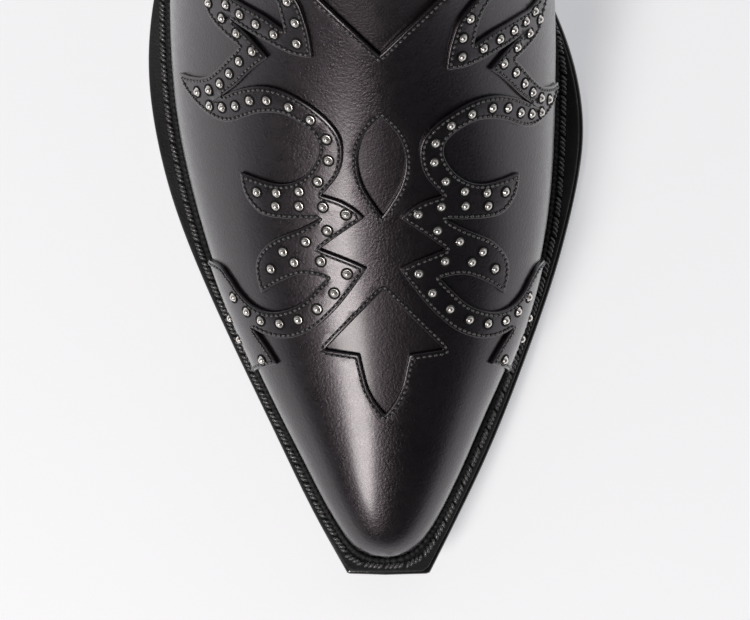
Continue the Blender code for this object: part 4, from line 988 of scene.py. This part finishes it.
def make_shaft_stitching():
    half = [MOTIF[0]] + smooth_stroke(MOTIF, 2.0)
    outline = np.array(half + [(-x, z) for x, z in half[-2:0:-1]])
    rows = []
    for ring in (outline, *(grown(outline, margin) for margin in (3.0, 6.0, 9.0))):
        for at_back in (False, True):
            flat = []
            for x, z in ring:
                side = 1 if x > 0 else -1
                u = 22.0
                for _ in range(3):
                    share = min(abs(x) / float(HALVES[side].half_girth(u)), 0.45)
                    share = 1 - share if at_back else share
                    u = float(station_at(z, np.array([share]), side)[0])
                flat.append(flat_of(np.array(u), np.array(share), side))
            rows.append(np.array(flat))
    thread("shaft_stitching", rows, SHAFT_PITCH, 0.8, 0.45, 0.8, SHAFT_LAYER[0], detail=(6, 4))


# ------------------------------------------------------------------ sole and heel

def heel_end(half_lateral, half_medial, y_start, y_end, count):
    points = []
    for k in range(1, count):
        turn = math.pi * k / count
        half = half_medial if math.cos(turn) > 0 else half_lateral
        points.append((half * math.cos(turn), y_start + (y_end - y_start) * math.sin(turn)))
    return points


def sole_outline(step=2.0):
    rows = list(zip(*SOLE_EDGE))
    lateral, medial = spline(rows[0], rows[1]), spline(rows[0], rows[2])
    start, end = rows[0][0], rows[0][-1]
    ys = np.linspace(start, end, round((end - start) / step) + 1)
    right = [(float(medial(y)), float(y)) for y in ys]
    left = [(-float(lateral(y)), float(y)) for y in ys]
    back = heel_end(rows[1][-1], rows[2][-1], end, SOLE_LENGTH, 44)
    toe = [(-TOE_CORNER - 0.7, 0.25), (-TOE_CORNER, 0.0), (0.0, -0.3), (TOE_CORNER + 1, 0.0),
           (TOE_CORNER + 1.9, 0.3)]
    return right + back + left[::-1] + toe


def feather_outline(inset):
    """Plan of the feather line moved inwards."""
    stations = np.linspace(0, BACK_START, 120)
    y, _, share = base_line(stations)
    middle = centre_x(stations)
    sides = []
    for side in (1, -1):
        half = (feather[side](np.minimum(stations, HEEL_ARC)) - side * middle) * share
        sides.append(np.column_stack([middle + side * half, y]))
    return even(grown(even(np.vstack([sides[0], sides[1][-2:0:-1]]), 2.0), -inset), 2.0)


def even(points, step):
    """Closed outline resampled at an even step."""
    points = np.vstack([points, points[:1]])
    run = lengths(points)
    return sample(points, run, np.linspace(0, run[-1], max(8, round(run[-1] / step)), endpoint=False))


def prism(name, lower, upper, faces, look, node, rounding):
    """Solid between two layers of points that share their faces."""
    count = len(lower)
    solid = [tuple(reversed(face)) for face in faces] + [tuple(i + count for i in face) for face in faces]
    edges = {(a, b) for face in faces for a, b in zip(face, face[1:] + face[:1])}
    solid += [(a, b, b + count, a + count) for a, b in edges if (b, a) not in edges]
    made = add(name, np.vstack([lower, upper]), solid, look, node)
    made.data.set_sharp_from_angle(angle=math.radians(40))
    soften(made, rounding)


def slab(name, outline, low, high, look, node, step, rounding):
    """A plan outline between two heights over the sole's underside."""
    flat, faces = fill(outline, [], step)
    lower, upper = (np.column_stack([flat, height + sole_z(flat[:, 1])]) for height in (low, high))
    prism(name, lower, upper, faces, look, node, rounding)


def strip(outer, inner, low, high):
    """The strip between two outlines within a range of y, as one outline."""
    parts = []
    for ring in (outer, inner):
        keep = [low <= p[1] <= high for p in ring]
        start = next(i for i in range(len(ring)) if keep[i] and not keep[i - 1])
        chain = []
        i = start
        while keep[i % len(ring)] and len(chain) < len(ring):
            chain.append(ring[i % len(ring)])
            i += 1
        limit = high if low < 0 else low
        parts.append([(chain[0][0], limit)] + chain + [(chain[-1][0], limit)])
    return parts[0] + parts[1][::-1]


def silhouette():
    """Outline of the upper seen from above, kept on the welt, from the medial waist round the toe."""
    sides = []
    edge = list(zip(*SOLE_EDGE))
    for side in (1, -1):
        half = HALVES[side]
        best = (side * half.points[:, :, 0]).argmax(1)
        line = half.points[np.arange(len(best)), best][:, :2]
        line = line[(half.u > 0.3) & (line[:, 1] < RAND_START)]
        limit = spline(edge[0], edge[1 if side < 0 else 2])(line[:, 1])
        limit -= np.interp(line[:, 1], (100, 125), (1.8, 3.4))
        line[:, 0] = side * np.minimum(side * line[:, 0], limit)
        sides.append(line)
    line = np.vstack([sides[0][::-1], sides[1]])
    run = lengths(line)
    return sample(line, run, np.arange(0, run[-1], 1.0))


def beside(line, distance):
    """An open plan line moved away from the boot's middle."""
    normal = right_of(np.gradient(line, axis=0))
    if (normal[0] * (line[0] - (-2.0, 120.0))).sum() < 0:
        normal = -normal
    return line + normal * distance[:, None]


def make_sole():
    outer = sole_outline()
    slab("outsole_leather", outer, 0.0, OUTSOLE_TOP, SOLE_HIDE, "outsole", 7.0, 0.8)
    edge = even(grown(outer, -0.2), 2.0)
    edge[:, 0] -= 0.9 * np.clip((edge[:, 0] + 10) / 30, 0, 1)
    edge[:, 1] += 0.6 * np.clip((12 - edge[:, 1]) / 10, 0, 1)
    edge = edge.tolist()
    inner = feather_outline(WELT_INNER).tolist()
    slab("welt_leather", strip(edge, inner, -5, RAND_START), OUTSOLE_TOP, WELT_TOP, WELT_HIDE, "welt", 2.5,
         0.5)
    slab("heel_rand_leather", strip(edge, inner, RAND_START + GAP, 400), OUTSOLE_TOP, RAND_TOP, WELT_HIDE,
         "heel_rand", 3.0, 0.5)
    make_welt_work(edge)


def make_welt_work(edge):
    """The welt's twisted stitches over a dark strip of painted shade, and the crinkled rib where it meets the
    upper.
    """
    line = silhouette()
    room = clearance(line, edge)
    seam = beside(line, np.minimum(2.6, room * 0.56))
    top = np.column_stack([seam, sole_z(seam[:, 1]) + WELT_TOP + 0.05])
    up = np.tile((0.0, 0.0, 1.0), (len(top), 1))
    # a dark strip of painted shade under the welt stitches
    painted_shade("welt_painted_shade", [(top, up)], 1.5, False, 0.0)
    centres, along, ups = spread(top, up, WELT_PITCH)
    along = unit(along)
    ways = along * 0.72 + np.cross(ups, along) * 0.7
    beads = [centres + along * shift * 1.16 + ups * lift
             for shift, lift in ((-1.5, 0.0), (-0.5, 0.12), (0.5, 0.12), (1.5, 0.0))]
    scatter("welt_stitching", bead((1.05, 0.5, 0.55), 10, 7), np.vstack(beads), np.tile(ways, (4, 1)),
            np.tile(ups, (4, 1)), WELT_THREAD)
    rib = beside(line, np.minimum(0.75, room * 0.2))
    length = np.arange(len(rib)) * 1.0
    fine = np.arange(0, length[-1], 0.3)
    rib = sample(rib, length, fine)
    out = -right_of(np.gradient(rib, axis=0))
    turn = np.arange(10) * math.pi / 5
    rings = []
    for at, (x, y), normal in zip(fine, rib, out):
        wave = 0.5 + 0.5 * math.sin(2 * math.pi * at / 1.5 + 0.9 * math.sin(at * 0.9))
        radius = 0.62 + 0.34 * wave
        reach = radius * np.cos(turn)
        rings.append(np.column_stack([x + normal[0] * reach, y + normal[1] * reach,
                                      sole_z(y) + WELT_TOP + 0.2 + radius * np.sin(turn)]))
    tube("welt_rib", rings, WELT_HIDE, closed=False)


def heel_outline(height):
    """Plan of the heel stack at a height: curved breast, round back."""
    t = height / HEEL_TOP
    breast = HEEL_BREAST[0] + (HEEL_BREAST[1] - HEEL_BREAST[0]) * t
    back = HEEL_BACK[0] + (HEEL_BACK[1] - HEEL_BACK[0]) * t
    half = HEEL_HALF[0] + (HEEL_HALF[1] - HEEL_HALF[0]) * t**1.3
    centre = back - half
    points = [(HEEL_X + half * math.cos(math.pi * k / 60), centre + half * math.sin(math.pi * k / 60))
              for k in range(61)]
    for k in range(1, 13):
        points.append((HEEL_X - half * (1 - 0.03 * k / 12), centre + (breast - centre) * k / 12))
    for k in range(1, 24):
        across = 1 - 2 * k / 24
        points.append((HEEL_X - half * 0.97 * across, breast + 2.0 * (1 - across**2)))
    for k in range(12, 0, -1):
        points.append((HEEL_X + half * (1 - 0.03 * k / 12), centre + (breast - centre) * k / 12))
    return points


def make_heel():
    """Each lift tapers to the next one; the lowest is rubber with four nail holes."""
    centre = HEEL_BACK[0] - HEEL_HALF[0]
    spots = ((HEEL_X - 14, 252), (HEEL_X + 14, 252), (HEEL_X - 12, centre + 10), (HEEL_X + 12, centre + 10))
    holes = [[(x + 2.0 * math.cos(k * math.pi / 10), y + 2.0 * math.sin(k * math.pi / 10)) for k in range(20)]
             for x, y in spots]
    heel_lift("top_lift_rubber", 0.0, TOP_LIFT, HEEL_RUBBER, "heel_top_lift", holes)
    level = TOP_LIFT + 0.12
    for k in range(HEEL_LIFTS, 0, -1):
        high = level + LIFT + 0.18 if k > 1 else None
        heel_lift(f"stack_leather_{k}", level, high, STACK_HIDE, f"heel_lift_{k}")
        level += LIFT + GAP


def heel_lift(name, low, high, look, node, holes=()):
    """A lift between two heights; without an upper one it reaches up to the outsole."""
    outline = np.array(heel_outline(low))
    upper_outline = np.array(heel_outline(high or HEEL_TOP))
    flat, faces = fill(outline, holes, 6.0)
    middle = np.array([HEEL_X, HEEL_BACK[0] - HEEL_HALF[0]])
    grow = (upper_outline - middle) / (outline - middle + 1e-9)
    upper = flat.copy()
    for i, p in enumerate(flat):
        near = np.linalg.norm(outline - p, axis=1).argmin()
        if np.linalg.norm(outline[near] - p) < 1e-6:
            upper[i] = upper_outline[near]
        else:
            scale = grow[near] if (abs(grow[near]) < 3).all() else 1.0
            upper[i] = middle + (p - middle) * np.clip(scale, 0.9, 1.2)
    top = np.full(len(flat), high) if high else sole_z(upper[:, 1]) - 0.05
    prism(name, np.column_stack([flat, np.full(len(flat), low)]), np.column_stack([upper, top]), faces, look,
          node, 0.3)


# ------------------------------------------------------------------ trim and straps

def above_loft(side, share, height, depth):
    """Points at a height, share and depth; above the collar the loft's walls go straight up."""
    u = station_at(min(height, COLLAR_HEIGHT), np.array([share]), side)
    point = HALVES[side].at(u, np.array([share]), depth)[0]
    return np.array([point[0], point[1], point[2] + max(0.0, height - COLLAR_HEIGHT)])


def make_binding():
    outer, inner = BINDING_FACES
    middle, half = (outer + inner) / 2, (outer - inner) / 2
    profile = [(outer, -BINDING_DEPTH)]
    profile += [(middle + half * math.cos(math.pi * k / 8), math.sin(math.pi * k / 8)) for k in range(9)]
    profile += [(inner, -BINDING_DEPTH), (inner + 0.8, -BINDING_DEPTH), (inner + 0.8, -0.4),
                (outer - 0.8, -0.4), (outer - 0.8, -BINDING_DEPTH)]
    shares = np.linspace(0, 1, 70)
    places = [(1, v) for v in shares[:-1]] + [(-1, v) for v in shares[:0:-1]]

    def follow(rise, depth):
        return np.array([above_loft(side, share, float(collar_height(share)) + rise, depth)
                         for side, share in places])

    rings = np.stack([follow(rise, depth) for depth, rise in profile], 1)
    made = tube("binding_leather", rings, SHAFT_CALF, "collar_binding")
    made.data.set_sharp_from_angle(angle=math.radians(50))
    row = follow(1.3 - BINDING_DEPTH, outer + 0.02)
    ups = follow(1.3 - BINDING_DEPTH, outer + 1.0) - row
    stitches("binding_stitching", [(row, ups)], SHAFT_PITCH, (0.85, 0.28, 0.32), (6, 4), closed=True)


def make_piping():
    half_bead, rise, depth, sides = 1.5, 1.5, -1.9, 8
    turn = np.arange(sides + 1) * math.pi / sides
    for side, name in ((-1, "lateral"), (1, "medial")):
        half = HALVES[side]
        high = float(station_at(COLLAR_HEIGHT - TAB_DEPTH + 4.0, np.array([0.5]), side)[0])
        rings = []
        for t in np.linspace(0, 1, 100):
            u = SEAM[0][0] + (high - SEAM[0][0]) * t**1.2
            shares = seam_share(u) + half_bead * np.cos(turn) / half.half_girth(u)
            rings.append([half.at(u, share, depth + rise * math.sin(spin))
                          for share, spin in zip(shares, turn)])
        tube(f"piping_{name}", rings, SHAFT_CALF, f"side_piping_{name}", closed=False)


def strap_path():
    """Middle line of a strap as (depth from the loft, rise over the collar's peak)."""
    outer, inner = STRAP_FACES[0] + STRAP_LEATHER / 2, STRAP_FACES[1] - STRAP_LEATHER / 2
    middle, reach = (outer + inner) / 2, (outer - inner) / 2
    path = [(outer, rise) for rise in np.linspace(-TAB_DEPTH, 0, 24)]
    for k in range(41):
        turn = math.pi * k / 40
        lean = reach + LOOP_BULGE * math.sin(turn)**0.8
        path.append((middle + math.cos(turn) * lean, 3.0 + (STRAP_RISE - 3.9) * math.sin(turn)**0.75))
    path += [(inner, rise) for rise in np.linspace(0, -TAB_DEPTH, 24)]
    return path, middle


def make_straps():
    path, middle = strap_path()
    across = np.linspace(-STRAP_WIDTH / 2, STRAP_WIDTH / 2, 17)
    for side, name in ((-1, "lateral"), (1, "medial")):
        girth = float(HALVES[side].half_girth(TOP))
        points = []
        hub = above_loft(side, 0.5, COLLAR_HEIGHT, middle)
        for depth, rise in path:
            straight = above_loft(side, 0.5, COLLAR_HEIGHT + max(rise, 0), depth)
            blend = min(1.0, max(0.0, rise / 9.0))
            blend = blend * blend * (3 - 2 * blend)
            for offset in across:
                curved = above_loft(side, 0.5 + offset / girth, COLLAR_HEIGHT + rise, depth)
                flat = np.array([hub[0] + side * (depth - middle), hub[1] + offset, straight[2]])
                points.append(curved * (1 - blend) + flat * blend)
        strap = add(f"strap_{name}", points, grid_faces(len(path), len(across)), CALF, body=None)
        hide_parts(f"pull_strap_{name}", f"strap_outer_tab_{name}", f"strap_inner_tab_{name}")
        thicken(strap, STRAP_LEATHER, (side, 0, 0), 0.45)
        strap.modifiers["thickness"].offset = 0
        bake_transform(strap)
        make_strap_stitching(side, name, girth)


def make_strap_stitching(side, name, girth):
    """Two rows down each edge of both sewn ends, joined across their feet."""
    tracks = []
    for inset in (2.0, 4.4):
        edge, foot = STRAP_WIDTH / 2 - inset, inset - TAB_DEPTH
        path = [(-edge, z) for z in np.linspace(-2, foot, 30)]
        path += [(x, foot) for x in np.linspace(-edge, edge, 24)[1:-1]]
        path += [(edge, z) for z in np.linspace(foot, -2, 30)]
        for depth, out in ((STRAP_FACES[0] + STRAP_LEATHER, 1.0), (STRAP_FACES[1] - STRAP_LEATHER, -1.0)):
            at, over = (np.array([above_loft(side, 0.5 + x / girth, COLLAR_HEIGHT + z, level)
                                  for x, z in path]) for level in (depth, depth + out))
            tracks.append((at, over - at))
    stitches(f"strap_stitching_{name}", tracks, SHAFT_PITCH, (0.85, 0.28, 0.34), (6, 4))


# ------------------------------------------------------------------ inner pieces that stay as they are

def dress_inner():
    looks = {"toe_box": FIBRE, "heel_counter": FIBRE, "cork_filler": CORK, "shank": NAIL_STEEL,
             "insole": INSOLE_HIDE, "sock_liner": LINING_HIDE,
             **{f"heel_nail_{k}": NAIL_STEEL for k in (1, 2, 3, 4)}}
    for node, look in looks.items():
        for slot in bpy.data.objects[node].material_slots:
            slot.material = look.made


# ------------------------------------------------------------------ studio

VIEW_WIDTH = 190.95
CAMERA_DISTANCE = 1500.0


def make_studio():
    floor_mesh = bpy.data.meshes.new("floor")
    floor_mesh.from_pydata([(-4, -4, 0), (4, -4, 0), (4, 4, 0), (-4, 4, 0)], [], [(0, 1, 2, 3)])
    floor = bpy.data.objects.new("floor", floor_mesh)
    floor.location.z = -0.0002
    look = Look("floor_paper", None, Specular_IOR_Level=0.1, Emission_Color=(0.96, 0.97, 1.0, 1.0),
                Emission_Strength=0.45)
    look.colour(look.noise(3.0, 2.0), 0.0, (0.88, 0.88, 0.895), (0.90, 0.90, 0.91))
    look.rough(400.0, 2.0, (0.85, 0.95), 0.0)
    look.bump(look.noise(900.0, 2.0), 0.00002)
    floor.data.materials.append(look.made)
    bpy.context.scene.collection.objects.link(floor)

    world = bpy.data.worlds.new("studio")
    bpy.context.scene.world = world
    world.use_nodes = True
    nodes, links = world.node_tree.nodes, world.node_tree.links
    coordinates = nodes.new("ShaderNodeTexCoord")
    split = nodes.new("ShaderNodeSeparateXYZ")
    links.new(coordinates.outputs["Generated"], split.inputs[0])
    total = nodes.new("ShaderNodeMath")
    for k, (axis, span) in enumerate((("Y", (0.05, 0.7, 0.05, 0.4)), ("Z", (0.0, 0.3, 0.55, 0.0)))):
        ramp = nodes.new("ShaderNodeMapRange")
        for socket, value in zip(("From Min", "From Max", "To Min", "To Max"), span):
            ramp.inputs[socket].default_value = value
        ramp.interpolation_type = "SMOOTHSTEP"
        links.new(split.outputs[axis], ramp.inputs["Value"])
        links.new(ramp.outputs["Result"], total.inputs[k])
    links.new(total.outputs[0], nodes["Background"].inputs["Strength"])
    nodes["Background"].inputs["Color"].default_value = (0.96, 0.97, 1.0, 1.0)

    soft_box("key", (-0.64, -0.97, 1.34), (0.42, 0.8), 16.0, (1.0, 0.955, 0.93))

    camera = bpy.data.cameras.new("camera")
    camera.sensor_width = 36.0
    camera.lens = 36.0 * CAMERA_DISTANCE / VIEW_WIDTH
    camera.clip_end = 10.0
    eye = bpy.data.objects.new("camera", camera)
    eye.location = place([(-2.8, 67.0, CAMERA_DISTANCE + 12.0)])[0]
    bpy.context.scene.collection.objects.link(eye)
    bpy.context.scene.camera = eye
    bpy.context.scene.view_settings.view_transform = "Standard"
    bpy.context.scene.view_settings.look = "None"


def soft_box(name, at, size, power, tint):
    light = bpy.data.lights.new(name, "AREA")
    light.shape = "RECTANGLE"
    light.size, light.size_y = size
    light.energy = power
    light.color = tint
    made = bpy.data.objects.new(name, light)
    made.location = at
    aim = Vector((0.0, -0.05, 0.03)) - made.location
    made.rotation_euler = aim.to_track_quat("-Z", "Y").to_euler()
    bpy.context.scene.collection.objects.link(made)


make_upper()
make_edge_stitching()
make_shaft_stitching()
make_sole()
make_heel()
make_binding()
make_piping()
make_straps()
dress_inner()
make_studio()
